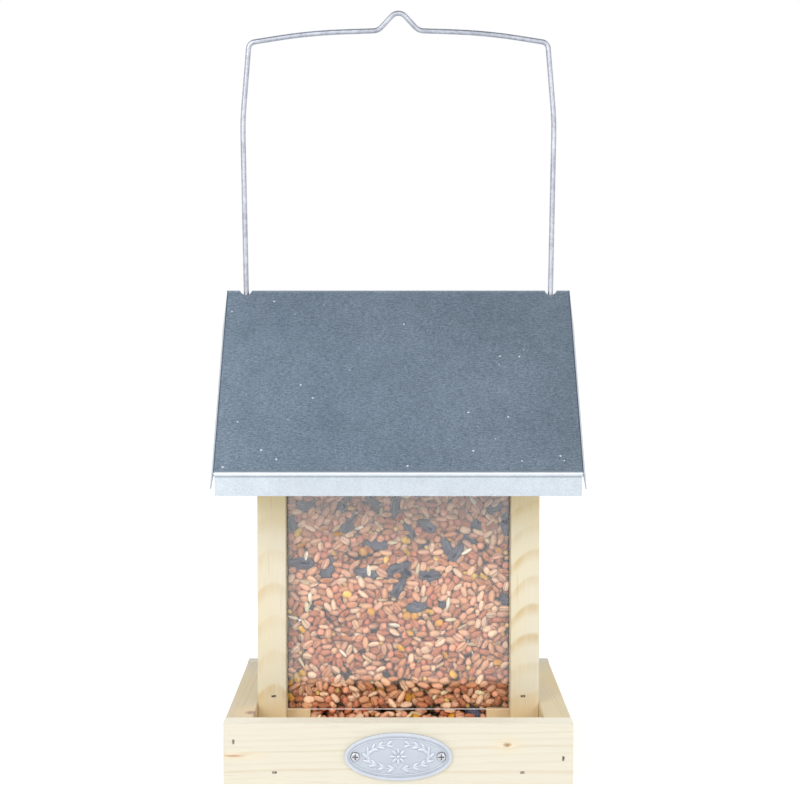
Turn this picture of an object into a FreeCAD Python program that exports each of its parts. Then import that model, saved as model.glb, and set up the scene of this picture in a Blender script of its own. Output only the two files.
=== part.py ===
import FreeCAD, Part
import math
import os
import re
import Sketcher

# Silo bird feeder: a softwood tray carries a glazed seed silo, a folded zinc roof rests on the silo's
# gables and slides up a wire bail for filling, and the bail pivots in the two gable walls.
# Millimetres. The origin is the middle of the tray's underside, +Z is up and the front faces -Y.

# Driving sizes: alias in the sheet, value, and what it measures.
SIZES = (
    ("tray_length", 175.0, "tray outside, along X"),
    ("tray_depth", 180.0, "tray outside, along Y"),
    ("board_thickness", 14.0, "tray boards"),
    ("board_height", 31.0, "tray boards"),
    ("floor_thickness", 12.0, "floor between the tray boards"),
    ("arris", 0.7, "rounding of the timber's long edges"),
    ("wall_thickness", 15.0, "gable walls, along X"),
    ("silo_depth", 85.0, "silo over its battens, along Y"),
    ("batten_thickness", 10.0, "corner battens, along Y"),
    ("gable_flat", 8.0, "flat on top of each gable, under the ridge fold"),
    ("cleat_width", 12.0, "floor cleats, along X"),
    ("cleat_height", 14.0, "floor cleats, the height of the seed outlet"),
    ("pane_thickness", 2.0, "clear panes"),
    ("pane_rebate", 4.0, "rebate in a wall for the pane's edge, along X"),
    ("pane_side_play", 0.5, "between a pane's edge and the end of its rebate"),
    ("pane_face_play", 0.15, "between a pane's face and its rebate"),
    ("pane_headroom", 6.0, "between a pane's top and the roof"),
    ("ridge_height", 247.4, "top of the roof above the ground"),
    ("roof_pitch", 45.0, "slope of the roof, degrees"),
    ("gable_overhang", 18.5, "roof beyond a gable wall's outer face"),
    ("eave_overhang", 1.0, "eave fold beyond the tray's front"),
    ("sheet_thickness", 0.6, "roof sheet"),
    ("bend_radius", 1.0, "inside of the folds at ridge and eaves"),
    ("fascia_height", 11.5, "upright strip under each eave fold"),
    ("fascia_trim", 0.8, "relief at each end of a fascia"),
    ("flap_height", 14.0, "strip folded down along each gable edge"),
    ("flap_splay", 10.0, "outward lean of the gable strips, degrees"),
    ("flap_relief", 3.0, "gable strip cut back at the ridge"),
    ("flap_end_relief", 1.0, "gable strip cut back at the eave"),
    ("ridge_hole_clearance", 1.9, "round the bail in the ridge holes, on the radius"),
    ("ridge_hole_outset", 0.5, "ridge holes outward from the bail's feet, along X"),
    ("wire_diameter", 2.8, "bail wire"),
    ("pivot_drop", 25.0, "bail pivot below the ridge"),
    ("pivot_clearance", 0.05, "round the wire in its hole, on the radius"),
    ("pivot_stop", 3.0, "wire's end short of a gable wall's inner face"),
    ("leg_gap", 7.9, "bail leg's foot from a gable wall's outer face, along X"),
    ("leg_bow", 2.0, "bail leg at its widest, outward from its foot"),
    ("bail_bow_rise", 90.0, "widest place above the ridge"),
    ("leg_lean", 1.5, "upper corner of the bail, inward from the foot"),
    ("bail_shoulder_rise", 131.6, "upper corner above the ridge"),
    ("bail_crown_half", 47.1, "bend along the bail's top bar, along X"),
    ("bail_crown_rise", 136.8, "bend along the bail's top bar, above the ridge"),
    ("bail_bar_rise", 138.0, "foot of the hanging bend above the ridge"),
    ("bail_bend_half", 10.8, "foot of the hanging bend, along X"),
    ("bail_peak_rise", 149.6, "where the flanks of the hanging bend would meet, above the ridge"),
    ("foot_bend_radius", 5.0, "wire's middle line, at the pivot"),
    ("bow_bend_radius", 150.0, "wire's middle line, at the widest place"),
    ("shoulder_bend_radius", 3.8, "wire's middle line, at the upper corners"),
    ("crown_bend_radius", 280.0, "wire's middle line, along the top bar"),
    ("root_bend_radius", 6.5, "wire's middle line, at the foot of the hanging bend"),
    ("peak_bend_radius", 5.0, "wire's middle line, at the top of the hanging bend"),
    ("brad_width", 2.4, "long side of a brad's section"),
    ("brad_breadth", 1.2, "short side of a brad's section"),
    ("brad_length", 24.0, "brads"),
    ("corner_brad_inset", 5.0, "tray corner brads from the tray's ends"),
    ("corner_brad_drop", 9.5, "upper tray corner brads below the board's top"),
    ("corner_brad_low", 13.0, "lower tray corner brads above the ground"),
    ("floor_brad_inset", 25.5, "floor brads from the tray's ends"),
    ("wall_brad_inset", 8.5, "brads from tray to walls, from the wall's edges"),
    ("wall_brad_drop", 10.5, "brads from tray to walls, below the board's top"),
    ("batten_brad_inset", 6.6, "batten brads from the wall's inner face, along X"),
    ("batten_brad_low", 23.0, "lower batten brads above the floor"),
    ("batten_brad_high", 30.0, "upper batten brads below the batten's top"),
    ("cleat_brad_inset", 22.5, "cleat brads from the cleat's ends"),
    ("plate_length", 53.8, "oval name plate, along X"),
    ("plate_height", 24.0, "oval name plate, along Z"),
    ("plate_drop", 1.3, "middle of the name plate below the board's"),
    ("plate_thickness", 0.8, "field of the name plate"),
    ("rim_width", 1.4, "raised rim of the name plate"),
    ("rim_height", 0.6, "rim above the field"),
    ("screw_inset", 5.4, "plate screws from the plate's ends"),
    ("screw_head_diameter", 4.6, "plate screws"),
    ("screw_head_height", 1.3, "plate screws"),
    ("screw_head_round", 0.9, "rounding of the head's edge"),
    ("screw_shank_diameter", 2.2, "plate screws"),
    ("screw_shank_length", 7.0, "plate screws, under the head, before the point"),
    ("screw_point_length", 2.5, "plate screws"),
    ("screw_hole_clearance", 0.2, "round a screw in the plate, on the radius"),
    ("recess_length", 2.9, "arm of the cross recess, end to end"),
    ("recess_width", 0.6, "arm of the cross recess"),
    ("recess_depth", 0.7, "cross recess"),
)

# Places worked out in the sheet from the driving sizes.
PLACES = (
    ("tray_end", "tray_length / 2", "outer face of a tray side board"),
    ("tray_front", "tray_depth / 2", "outer face of the front and back boards"),
    ("trough_edge", "tray_front - board_thickness", "inner face of the front and back boards"),
    ("silo_end", "tray_end - board_thickness", "outer face of a gable wall"),
    ("wall_inside", "silo_end - wall_thickness", "inner face of a gable wall"),
    ("silo_front", "silo_depth / 2", "outer face of the battens"),
    ("wall_front", "silo_front - batten_thickness", "edge of a wall behind its batten"),
    ("rebate_depth", "pane_thickness + 2 * pane_face_play", "pane rebate, along Y"),
    ("cleat_top", "floor_thickness + cleat_height", "where the panes stand"),
    ("slope", "tan(roof_pitch * 1 deg)", "roof's fall for each millimetre of run"),
    ("roof_cosine", "cos(roof_pitch * 1 deg)", "of the roof's slope"),
    ("sheet_drop", "sheet_thickness / roof_cosine", "roof sheet measured upright"),
    ("under_ridge", "ridge_height - sheet_drop", "where the roof's inner faces meet"),
    ("roof_run", "tray_front + eave_overhang", "ridge to eave fold, along Y"),
    ("eave_height", "ridge_height - roof_run * slope", "eave fold"),
    ("fascia_foot", "eave_height - fascia_height", "lower edge of the fascia"),
    ("roof_end", "silo_end + gable_overhang", "gable edge of the roof"),
    ("pane_top", "under_ridge - wall_front * slope - pane_headroom", "upper edge of the panes"),
    ("batten_top", "under_ridge - silo_front * slope", "batten's outer face ends here"),
    ("pivot_height", "ridge_height - pivot_drop", "bail pivot above the ground"),
    ("wire_radius", "wire_diameter / 2", "bail wire"),
    ("ridge_hole_radius", "wire_radius + ridge_hole_clearance", "holes in the ridge for the bail"),
    ("bail_foot", "silo_end + leg_gap", "bail leg at the pivot, along X"),
    ("plate_rise", "board_height / 2 - plate_drop", "middle of the name plate"),
    ("screw_place", "plate_length / 2 - screw_inset", "plate screws from the middle, along X"),
)

doc = FreeCAD.newDocument("SiloFeeder")
sheet = doc.addObject("Spreadsheet::Sheet", "Sizes")


def fill_sheet():
    """Writes the driving sizes and the places worked out from them, each under its alias."""
    rows = [(alias, str(value), meaning) for alias, value, meaning in SIZES]
    rows += [(alias, "=" + formula, meaning) for alias, formula, meaning in PLACES]
    for row, (alias, content, meaning) in enumerate(rows, start=1):
        sheet.set(f"A{row}", meaning)
        sheet.set(f"B{row}", content)
        sheet.setAlias(f"B{row}", alias)
    doc.recompute()


ALIASES = {row[0] for row in SIZES + PLACES}

# Least cosine between lines that count as parallel, the distance within which two places are the same,
# and the most of a screw head's height that its rounding may take.
PARALLEL = 0.999
SAME_PLACE = 0.01
FULLEST_ROUNDING = 0.95


def cells(text):
    """Turns an expression in bare aliases into one that names the sheet's cells."""
    return re.sub(r"[a-z_]+", lambda m: "Sizes." + m[0] if m[0] in ALIASES else m[0], text)


def number(text):
    """Works out an expression in bare aliases."""
    return float(sheet.evalExpression(cells(text)))


def bind(obj, **expressions):
    """Binds properties of an object to expressions; a double underscore stands for a dot."""
    for name, text in expressions.items():
        obj.setExpression(name.replace("__", "."), cells(text))


def place(obj, low):
    """Binds an object's position to three expressions."""
    for axis, text in zip("xyz", low):
        obj.setExpression("Placement.Base." + axis, cells(text))


def block(name, low, size):
    """A box from its lowest corner and its three edges."""
    obj = doc.addObject("Part::Box", name)
    bind(obj, Length=size[0], Width=size[1], Height=size[2])
    place(obj, low)
    return obj


def rod(name, base, radius, height, turn=None):
    """A cylinder along +Z, or along the axis that the rotation turns +Z to."""
    obj = doc.addObject("Part::Cylinder", name)
    bind(obj, Radius=radius, Height=height)
    if turn is not None:
        obj.Placement = FreeCAD.Placement(FreeCAD.Vector(), turn)
    place(obj, base)
    return obj


def ease(blank, axis):
    """Rounds the edges of a timber that run along one axis."""
    doc.recompute()
    along = FreeCAD.Vector(*(letter == axis for letter in "xyz"))
    radius = number("arris")
    obj = doc.addObject("Part::Fillet", blank.Name + "_eased")
    obj.Base = blank
    obj.Edges = [(index, radius, radius) for index, edge in enumerate(blank.Shape.Edges, start=1)
                 if abs(edge.tangentAt(edge.FirstParameter).dot(along)) > PARALLEL]
    return obj


def cut(label, base, *tools):
    """Takes the tools from the base one after another; the last result gets the label."""
    for step, tool in enumerate(tools):
        obj = doc.addObject("Part::Cut", f"{label}_cut_{step}")
        obj.Base = base
        obj.Tool = tool
        base = obj
    base.Label = label
    return base


def group(label, members):
    """Keeps separate solids together in one compound."""
    obj = doc.addObject("Part::Compound", label)
    obj.Links = members
    return obj


def fuse(name, members):
    """Joins solids into one."""
    obj = doc.addObject("Part::MultiFuse", name)
    obj.Shapes = members
    return obj


def outline(body, name, plane, corners):
    """Draws a closed polygon on one of a body's origin planes, each corner held by two expressions."""
    sketch = body.newObject("Sketcher::SketchObject", name)
    origin = [item for item in body.Origin.OriginFeatures if item.Role == plane][0]
    sketch.AttachmentSupport = [(origin, "")]
    sketch.MapMode = "FlatFace"
    points = [FreeCAD.Vector(number(across), number(up), 0) for across, up in corners]
    for start, end in zip(points, points[1:] + points[:1]):
        sketch.addGeometry(Part.LineSegment(start, end))
    for side in range(len(points)):
        following = (side + 1) % len(points)
        sketch.addConstraint(Sketcher.Constraint("Coincident", side, 2, following, 1))
    for side, ((across, up), point) in enumerate(zip(corners, points)):
        for kind, text, value in (("DistanceX", across, point.x), ("DistanceY", up, point.y)):
            index = sketch.addConstraint(Sketcher.Constraint(kind, -1, 1, side, 1, value))
            sketch.setExpression(f"Constraints[{index}]", cells(text))
    return sketch


def prism(name, plane, corners, length, middle=False):
    """Pads an outline square to its plane, away from it or to both sides of it."""
    body = doc.addObject("PartDesign::Body", name)
    sketch = outline(body, name + "_outline", plane, corners)
    pad = body.newObject("PartDesign::Pad", name + "_pad")
    pad.Profile = sketch
    pad.Midplane = middle
    bind(pad, Length=length)
    return body


def mirror(name, source, normal):
    """Mirrors an object in a plane through the origin."""
    obj = doc.addObject("Part::Mirroring", name)
    obj.Source = source
    obj.Normal = normal
    return obj


def brad(name, head, inward, wide):
    """A brad driven flush: the middle of its head, the way it goes in and its head's long axis."""
    size = {axis: "brad_breadth" for axis in "xyz"}
    size[wide] = "brad_width"
    size[inward[1]] = "brad_length"
    low = {axis: f"({text}) - {size[axis]} / 2" for axis, text in zip("xyz", head)}
    entry = head["xyz".index(inward[1])]
    low[inward[1]] = entry if inward[0] == "+" else f"({entry}) - brad_length"
    return block(name, [low[axis] for axis in "xyz"], [size[axis] for axis in "xyz"])


SIDES = (("left", "-"), ("right", ""))
FACES = (("front", "-"), ("rear", ""))
FACE_INWARD = {"-": "+y", "": "-y"}
SIDE_INWARD = {"-": "+x", "": "-x"}
SIDE_OUTWARD = {"-": "-x", "": "+x"}


def tray_corner_brads():
    """One brad through each end of the front and back boards, high and low by turns."""
    brads = []
    for face, face_sign in FACES:
        for side, side_sign in SIDES:
            height = "board_height - corner_brad_drop" if face_sign == side_sign else "corner_brad_low"
            head = (f"{side_sign}(tray_end - corner_brad_inset)", f"{face_sign}tray_front", height)
            brads.append(brad(f"corner_brad_{face}_{side}", head, FACE_INWARD[face_sign], "z"))
    return group("tray_corner_brads", brads)


def floor_brads():
    """Two brads through each of the front and back boards into the floor."""
    brads = []
    for face, face_sign in FACES:
        for side, side_sign in SIDES:
            across = f"{side_sign}(tray_end - floor_brad_inset)"
            head = (across, f"{face_sign}tray_front", "floor_thickness / 2")
            brads.append(brad(f"floor_brad_{face}_{side}", head, FACE_INWARD[face_sign], "x"))
    return group("floor_brads", brads)


def wall_brads():
    """Two brads through each tray side board into the gable wall behind it."""
    brads = []
    for side, side_sign in SIDES:
        for face, face_sign in FACES:
            along = f"{face_sign}(wall_front - wall_brad_inset)"
            head = (f"{side_sign}tray_end", along, "board_height - wall_brad_drop")
            brads.append(brad(f"wall_brad_{side}_{face}", head, SIDE_INWARD[side_sign], "y"))
    return group("wall_brads", brads)


def batten_brads():
    """A lower and an upper brad through each batten into the wall's edge."""
    brads = []
    heights = (("low", "floor_thickness + batten_brad_low"), ("high", "batten_top - batten_brad_high"))
    for face, face_sign in FACES:
        for side, side_sign in SIDES:
            for step, height in heights:
                across = f"{side_sign}(wall_inside + batten_brad_inset)"
                head = (across, f"{face_sign}silo_front", height)
                name = f"batten_brad_{face}_{side}_{step}"
                brads.append(brad(name, head, FACE_INWARD[face_sign], "x"))
    return group("batten_brads", brads)


def cleat_brads():
    """Two brads through each floor cleat into its wall."""
    brads = []
    for side, side_sign in SIDES:
        for face, face_sign in FACES:
            across = f"{side_sign}(wall_inside - cleat_width)"
            along = f"{face_sign}(wall_front - cleat_brad_inset)"
            head = (across, along, "floor_thickness + cleat_height / 2")
            brads.append(brad(f"cleat_brad_{side}_{face}", head, SIDE_OUTWARD[side_sign], "y"))
    return group("cleat_brads", brads)


def base_plate(brads):
    """The tray's floor, inside the frame of boards."""
    low = ("-silo_end", "-trough_edge", "0")
    blank = block("base_plate_blank", low, ("2 * silo_end", "2 * trough_edge", "floor_thickness"))
    return cut("base_plate", blank, brads)


def tray_end_board(label, sign, *tools):
    """The front or back board, the full length of the tray."""
    near = "-tray_front" if sign == "-" else "trough_edge"
    size = ("tray_length", "board_thickness", "board_height")
    blank = block(label + "_blank", ("-tray_end", near, "0"), size)
    return cut(label, ease(blank, "x"), *tools)


def tray_side_board(label, sign, *tools):
    """A side board, between the front and back boards."""
    near = "-tray_end" if sign == "-" else "silo_end"
    size = ("board_thickness", "2 * trough_edge", "board_height")
    blank = block(label + "_blank", (near, "-trough_edge", "0"), size)
    return cut(label, ease(blank, "y"), *tools)


def under_roof(across):
    """Height of the roof's inner face at a distance from the ridge."""
    return f"under_ridge - ({across}) * slope"


def gable_wall(side, sign, *brads):
    """A wall with a gable top, rebated for both panes and bored for the bail."""
    flat = "gable_flat / 2"
    corners = (
        ("-wall_front", "floor_thickness"),
        ("wall_front", "floor_thickness"),
        ("wall_front", under_roof("wall_front")),
        (flat, under_roof(flat)),
        ("-" + flat, under_roof(flat)),
        ("-wall_front", under_roof("wall_front")),
    )
    label = side + "_wall"
    body = prism(label + "_blank", "YZ_Plane", corners, "wall_thickness")
    bind(body, Placement__Base__x="-silo_end" if sign == "-" else "wall_inside")
    rebates = []
    for face, face_sign in FACES:
        inner = "-wall_inside - pane_rebate" if sign == "-" else "wall_inside"
        near = "-wall_front" if face_sign == "-" else "wall_front - rebate_depth"
        size = ("pane_rebate", "rebate_depth", "ridge_height")
        rebates.append(block(f"{side}_{face}_rebate", (inner, near, "cleat_top"), size))
    along_x = FreeCAD.Rotation(FreeCAD.Vector(0, 1, 0), 90)
    start = "-silo_end" if sign == "-" else "wall_inside"
    radius = "wire_radius + pivot_clearance"
    pivot = rod(side + "_pivot_hole", (start, "0", "pivot_height"), radius, "wall_thickness", along_x)
    return cut(label, ease(body, "z"), *rebates, pivot, *brads)


def corner_batten(face, face_sign, side, side_sign, brads):
    """A batten on a wall's edge: it closes the pane's rebate and meets the roof with a bevel."""
    corners = (
        (f"{face_sign}silo_front", "floor_thickness"),
        (f"{face_sign}wall_front", "floor_thickness"),
        (f"{face_sign}wall_front", under_roof("wall_front")),
        (f"{face_sign}silo_front", "batten_top"),
    )
    label = f"{face}_{side}_batten"
    body = prism(label + "_blank", "YZ_Plane", corners, "wall_thickness")
    bind(body, Placement__Base__x="-silo_end" if side_sign == "-" else "wall_inside")
    return cut(label, ease(body, "z"), brads)


def floor_cleat(side, sign, brads):
    """A cleat along the foot of a wall: both panes stand on its ends and the seed runs out beside it."""
    label = side + "_cleat"
    near = "-wall_inside" if sign == "-" else "wall_inside - cleat_width"
    size = ("cleat_width", "2 * wall_front", "cleat_height")
    blank = block(label + "_blank", (near, "-wall_front", "floor_thickness"), size)
    return cut(label, ease(blank, "y"), brads)


def pane(face, sign):
    """A clear pane that slides down the rebates and stands on the cleats."""
    reach = "wall_inside + pane_rebate - pane_side_play"
    near = "-wall_front + pane_face_play"
    if sign != "-":
        near = "wall_front - pane_face_play - pane_thickness"
    size = (f"2 * ({reach})", "pane_thickness", "pane_top - cleat_top")
    return block(face + "_pane", (f"-({reach})", near, "cleat_top"), size)


FACING_FRONT = FreeCAD.Rotation(FreeCAD.Vector(1, 0, 0), 90)


def oval(name, half_length, half_height, back, thickness):
    """An oval slab on the front board: its middle is the plate's, its thickness runs to the front."""
    edge = doc.addObject("Part::Ellipse", name + "_edge")
    bind(edge, MajorRadius=half_length, MinorRadius=half_height)
    edge.Placement = FreeCAD.Placement(FreeCAD.Vector(), FACING_FRONT)
    place(edge, ("0", back, "plate_rise"))
    slab = doc.addObject("Part::Extrusion", name)
    slab.Base = edge
    slab.DirMode = "Custom"
    slab.Dir = FreeCAD.Vector(0, -1, 0)
    slab.Solid = True
    bind(slab, LengthFwd=thickness)
    return slab


def name_plate():
    """The oval plate: a flat field inside a raised rim, with a hole at each end."""
    slab = oval("plate_slab", "plate_length / 2", "plate_height / 2", "-tray_front",
                "plate_thickness + rim_height")
    field = oval("plate_field", "plate_length / 2 - rim_width", "plate_height / 2 - rim_width",
                 "-tray_front - plate_thickness", "rim_height")
    holes = []
    for side, sign in SIDES:
        base = (f"{sign}screw_place", "-tray_front", "plate_rise")
        radius = "screw_shank_diameter / 2 + screw_hole_clearance"
        holes.append(rod(f"plate_hole_{side}", base, radius, "plate_thickness", FACING_FRONT))
    return cut("name_plate", slab, field, *holes)


def plate_screw(side, sign):
    """A round-headed wood screw with a cross recess, its head down on the plate's field."""
    seat = "-tray_front - plate_thickness"
    middle = f"{sign}screw_place"
    head = rod(f"screw_head_{side}", (middle, seat, "plate_rise"), "screw_head_diameter / 2",
               "screw_head_height", FACING_FRONT)
    doc.recompute()
    rim = [index for index, edge in enumerate(head.Shape.Edges, start=1)
           if edge.Closed and edge.CenterOfMass.y < number(seat) - number("screw_head_height") / 2]
    dome = doc.addObject("Part::Fillet", f"screw_dome_{side}")
    dome.Base = head
    rounding = min(number("screw_head_round"), number("screw_head_height") * FULLEST_ROUNDING)
    dome.Edges = [(index, rounding, rounding) for index in rim]
    shank = rod(f"screw_shank_{side}", (middle, f"{seat} + screw_shank_length", "plate_rise"),
                "screw_shank_diameter / 2", "screw_shank_length", FACING_FRONT)
    point = doc.addObject("Part::Cone", f"screw_point_{side}")
    point.Radius1 = 0
    bind(point, Radius2="screw_shank_diameter / 2", Height="screw_point_length")
    point.Placement = FreeCAD.Placement(FreeCAD.Vector(), FACING_FRONT)
    place(point, (middle, f"{seat} + screw_shank_length + screw_point_length", "plate_rise"))
    front = f"{seat} - screw_head_height"
    arms = []
    for name, across, up in (("flat", "recess_length", "recess_width"),
                             ("upright", "recess_width", "recess_length")):
        low = (f"{middle} - {across} / 2", front, f"plate_rise - {up} / 2")
        arms.append(block(f"screw_recess_{name}_{side}", low, (across, "recess_depth", up)))
    return cut(f"plate_screw_{side}", fuse(f"screw_blank_{side}", [dome, shank, point]), *arms)


def name_plate_screws():
    """Both screws of the name plate."""
    return group("name_plate_screws", [plate_screw(side, sign) for side, sign in SIDES])


def fold(body, name, places, radius):
    """Rounds the edges of a body that run along X through the given places."""
    doc.recompute()
    edges = []
    for index, edge in enumerate(body.Shape.Edges, start=1):
        middle = edge.CenterOfMass
        if abs(edge.tangentAt(edge.FirstParameter).x) < PARALLEL:
            continue
        if any(math.hypot(middle.y - y, middle.z - z) < SAME_PLACE for y, z in places):
            edges.append(f"Edge{index}")
    sharp = body.Tip
    fillet = body.newObject("PartDesign::Fillet", name)
    fillet.Base = (sharp, edges)
    bind(fillet, Radius=radius)


def roof_sheet():
    """Both slopes and fascias of the roof, folded from one sheet at the ridge and the eaves."""
    inside = "(roof_run - sheet_thickness)"
    inner_eave = under_roof(inside)
    profile = (
        ("roof_run", "fascia_foot"),
        ("roof_run", "eave_height"),
        ("0", "ridge_height"),
        ("-roof_run", "eave_height"),
        ("-roof_run", "fascia_foot"),
        (f"-{inside}", "fascia_foot"),
        (f"-{inside}", inner_eave),
        ("0", "under_ridge"),
        (inside, inner_eave),
        (inside, "fascia_foot"),
    )
    body = prism("roof_sheet", "YZ_Plane", profile, "2 * roof_end", middle=True)
    outer = [(number(across), number(up)) for across, up in profile[1:4]]
    inner = [(number(across), number(up)) for across, up in profile[6:9]]
    fold(body, "outer_folds", outer, "bend_radius + sheet_thickness")
    fold(body, "inner_folds", inner, "bend_radius")
    return body


def gable_flap():
    """The strip folded down along the front right gable edge, mitred at the ridge and splayed outward."""
    length = "roof_run / roof_cosine - flap_end_relief"
    corners = (
        ("flap_relief", "0"),
        (length, "0"),
        (length, "flap_height"),
        ("flap_height * slope + flap_relief", "flap_height"),
    )
    body = prism("gable_flap", "XY_Plane", corners, "sheet_thickness")
    body.Tip.Reversed = True
    pitch = math.radians(number("roof_pitch"))
    splay = math.radians(number("flap_splay"))
    down = FreeCAD.Vector(0, -math.cos(pitch), -math.sin(pitch))
    inward = FreeCAD.Vector(0, math.sin(pitch), -math.cos(pitch))
    hang = inward * math.cos(splay) + FreeCAD.Vector(math.sin(splay), 0, 0)
    turn = FreeCAD.Rotation(down, hang, down.cross(hang), "XYZ")
    body.Placement = FreeCAD.Placement(FreeCAD.Vector(), turn)
    place(body, ("roof_end", "0", "ridge_height"))
    return body


def roof():
    """The whole roof: slopes, fascias, gable strips and the two ridge holes."""
    across = FreeCAD.Vector(1, 0, 0)
    along = FreeCAD.Vector(0, 1, 0)
    front_right = gable_flap()
    front_left = mirror("flap_front_left", front_right, across)
    rear_right = mirror("flap_rear_right", front_right, along)
    rear_left = mirror("flap_rear_left", front_left, along)
    whole = fuse("roof_blank", [roof_sheet(), front_right, front_left, rear_right, rear_left])
    tools = []
    for side, sign in SIDES:
        base = (f"{sign}(bail_foot + ridge_hole_outset)", "0", "eave_height")
        tools.append(rod(f"ridge_hole_{side}", base, "ridge_hole_radius", "roof_run * slope"))
        near = "-roof_end" if sign == "-" else "roof_end - fascia_trim"
        for face, face_sign in FACES:
            low = (near, f"{face_sign}roof_run - sheet_thickness", "fascia_foot")
            size = ("fascia_trim", "2 * sheet_thickness", "fascia_height - bend_radius - sheet_thickness")
            tools.append(block(f"fascia_relief_{side}_{face}", low, size))
    return cut("roof", whole, *tools)


def rounded_path(corners, radii):
    """A wire through the corners in the XZ plane, each inner corner rounded with a tangent arc."""
    edges = []
    start = corners[0]
    for before, corner, after, radius in zip(corners, corners[1:], corners[2:], radii):
        back = (before - corner).normalize()
        on = (after - corner).normalize()
        half_angle = back.getAngle(on) / 2
        run = radius / math.tan(half_angle)
        middle = corner + (back + on).normalize() * (radius / math.sin(half_angle) - radius)
        edges.append(Part.LineSegment(start, corner + back * run).toShape())
        edges.append(Part.Arc(corner + back * run, middle, corner + on * run).toShape())
        start = corner + on * run
    edges.append(Part.LineSegment(start, corners[-1]).toShape())
    return Part.Wire(edges)


def bail():
    """The wire bail: both ends turn into the gable walls, the arched top has a bend to hang it by."""
    legs = (
        ("wall_inside + pivot_stop", "pivot_height"),
        ("bail_foot", "pivot_height"),
        ("bail_foot + leg_bow", "ridge_height + bail_bow_rise"),
        ("bail_foot - leg_lean", "ridge_height + bail_shoulder_rise"),
        ("bail_crown_half", "ridge_height + bail_crown_rise"),
        ("bail_bend_half", "ridge_height + bail_bar_rise"),
    )
    half = [FreeCAD.Vector(number(across), 0, number(up)) for across, up in legs]
    peak = FreeCAD.Vector(0, 0, number("ridge_height + bail_peak_rise"))
    other = [FreeCAD.Vector(-corner.x, 0, corner.z) for corner in half]
    names = ("foot", "bow", "shoulder", "crown", "root")
    bends = [number(f"{name}_bend_radius") for name in names]
    radii = bends + [number("peak_bend_radius")] + bends[::-1]
    path = rounded_path(other + [peak] + half[::-1], radii)
    start = path.Vertexes[0].Point
    section = Part.Wire(Part.Circle(start, FreeCAD.Vector(1, 0, 0), number("wire_radius")).toShape())
    obj = doc.addObject("Part::Feature", "bail")
    obj.Shape = path.makePipeShell([section], True, False)
    obj.Placement = FreeCAD.Placement()
    return obj


def build():
    """Makes every piece and returns them with the names of their files."""
    corners, floors, walls, battens, cleats = (
        tray_corner_brads(), floor_brads(), wall_brads(), batten_brads(), cleat_brads())
    screws = name_plate_screws()
    pieces = [
        base_plate(floors),
        tray_end_board("tray_front_board", "-", corners, floors, screws),
        tray_end_board("tray_back_board", "", corners, floors),
        tray_side_board("tray_left_board", "-", corners, walls),
        tray_side_board("tray_right_board", "", corners, walls),
    ]
    for side, sign in SIDES:
        pieces.append(gable_wall(side, sign, walls, battens, cleats))
        pieces.append(floor_cleat(side, sign, cleats))
    for face, face_sign in FACES:
        pieces.append(pane(face, face_sign))
        for side, sign in SIDES:
            pieces.append(corner_batten(face, face_sign, side, sign, battens))
    pieces += [name_plate(), screws, corners, floors, walls, battens, cleats, roof(), bail()]
    return {piece.Label: piece for piece in pieces}


def check(pieces):
    """Stops if any object of the document failed or a piece has no valid solid."""
    failed = [obj.Name for obj in doc.Objects if {"Invalid", "Error"} & set(obj.State)]
    if failed:
        raise RuntimeError(f"objects that failed: {failed}")
    for label, piece in pieces.items():
        shape = piece.Shape
        if shape.isNull() or not shape.isValid() or not shape.Solids:
            raise RuntimeError(f"{label} has no valid solid")
        if any(solid.Volume <= 0 for solid in shape.Solids):
            raise RuntimeError(f"{label} has a solid that is inside out")


fill_sheet()
PIECES = build()
doc.recompute()
check(PIECES)
os.makedirs("parts", exist_ok=True)
for label, piece in PIECES.items():
    piece.Shape.exportStep(f"parts/{label}.step")
    print(f"{label}: {len(piece.Shape.Solids)} solid(s), {piece.Shape.Volume:.1f} mm3")
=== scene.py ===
import logging
import math
from dataclasses import dataclass
from enum import Enum
from typing import Any, Callable, Mapping, Sequence, Union

import bpy
import numpy as np
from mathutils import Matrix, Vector
from mathutils.kdtree import KDTree


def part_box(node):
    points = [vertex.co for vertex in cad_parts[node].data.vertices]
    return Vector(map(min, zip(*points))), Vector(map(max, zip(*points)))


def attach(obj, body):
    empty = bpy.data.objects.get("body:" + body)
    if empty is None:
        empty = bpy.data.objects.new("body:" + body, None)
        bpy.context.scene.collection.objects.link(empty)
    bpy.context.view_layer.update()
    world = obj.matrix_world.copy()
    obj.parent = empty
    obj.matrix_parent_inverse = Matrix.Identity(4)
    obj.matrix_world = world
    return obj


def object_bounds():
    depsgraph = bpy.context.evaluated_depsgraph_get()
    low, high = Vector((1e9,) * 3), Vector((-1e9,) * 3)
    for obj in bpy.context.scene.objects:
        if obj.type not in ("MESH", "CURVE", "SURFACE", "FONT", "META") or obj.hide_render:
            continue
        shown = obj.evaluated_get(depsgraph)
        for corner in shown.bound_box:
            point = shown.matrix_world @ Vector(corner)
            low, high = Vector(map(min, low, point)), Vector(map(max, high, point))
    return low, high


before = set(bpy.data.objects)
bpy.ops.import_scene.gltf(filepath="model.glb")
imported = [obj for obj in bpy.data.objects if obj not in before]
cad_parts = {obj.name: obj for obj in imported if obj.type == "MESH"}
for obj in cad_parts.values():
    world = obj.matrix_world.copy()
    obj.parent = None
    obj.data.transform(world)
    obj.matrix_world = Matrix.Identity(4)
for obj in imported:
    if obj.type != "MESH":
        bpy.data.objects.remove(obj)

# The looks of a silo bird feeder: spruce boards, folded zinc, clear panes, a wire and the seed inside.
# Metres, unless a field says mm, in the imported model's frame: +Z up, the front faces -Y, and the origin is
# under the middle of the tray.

LOG = logging.getLogger("silo_feeder")
CAD_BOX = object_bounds()
MM = 0.001

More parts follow.
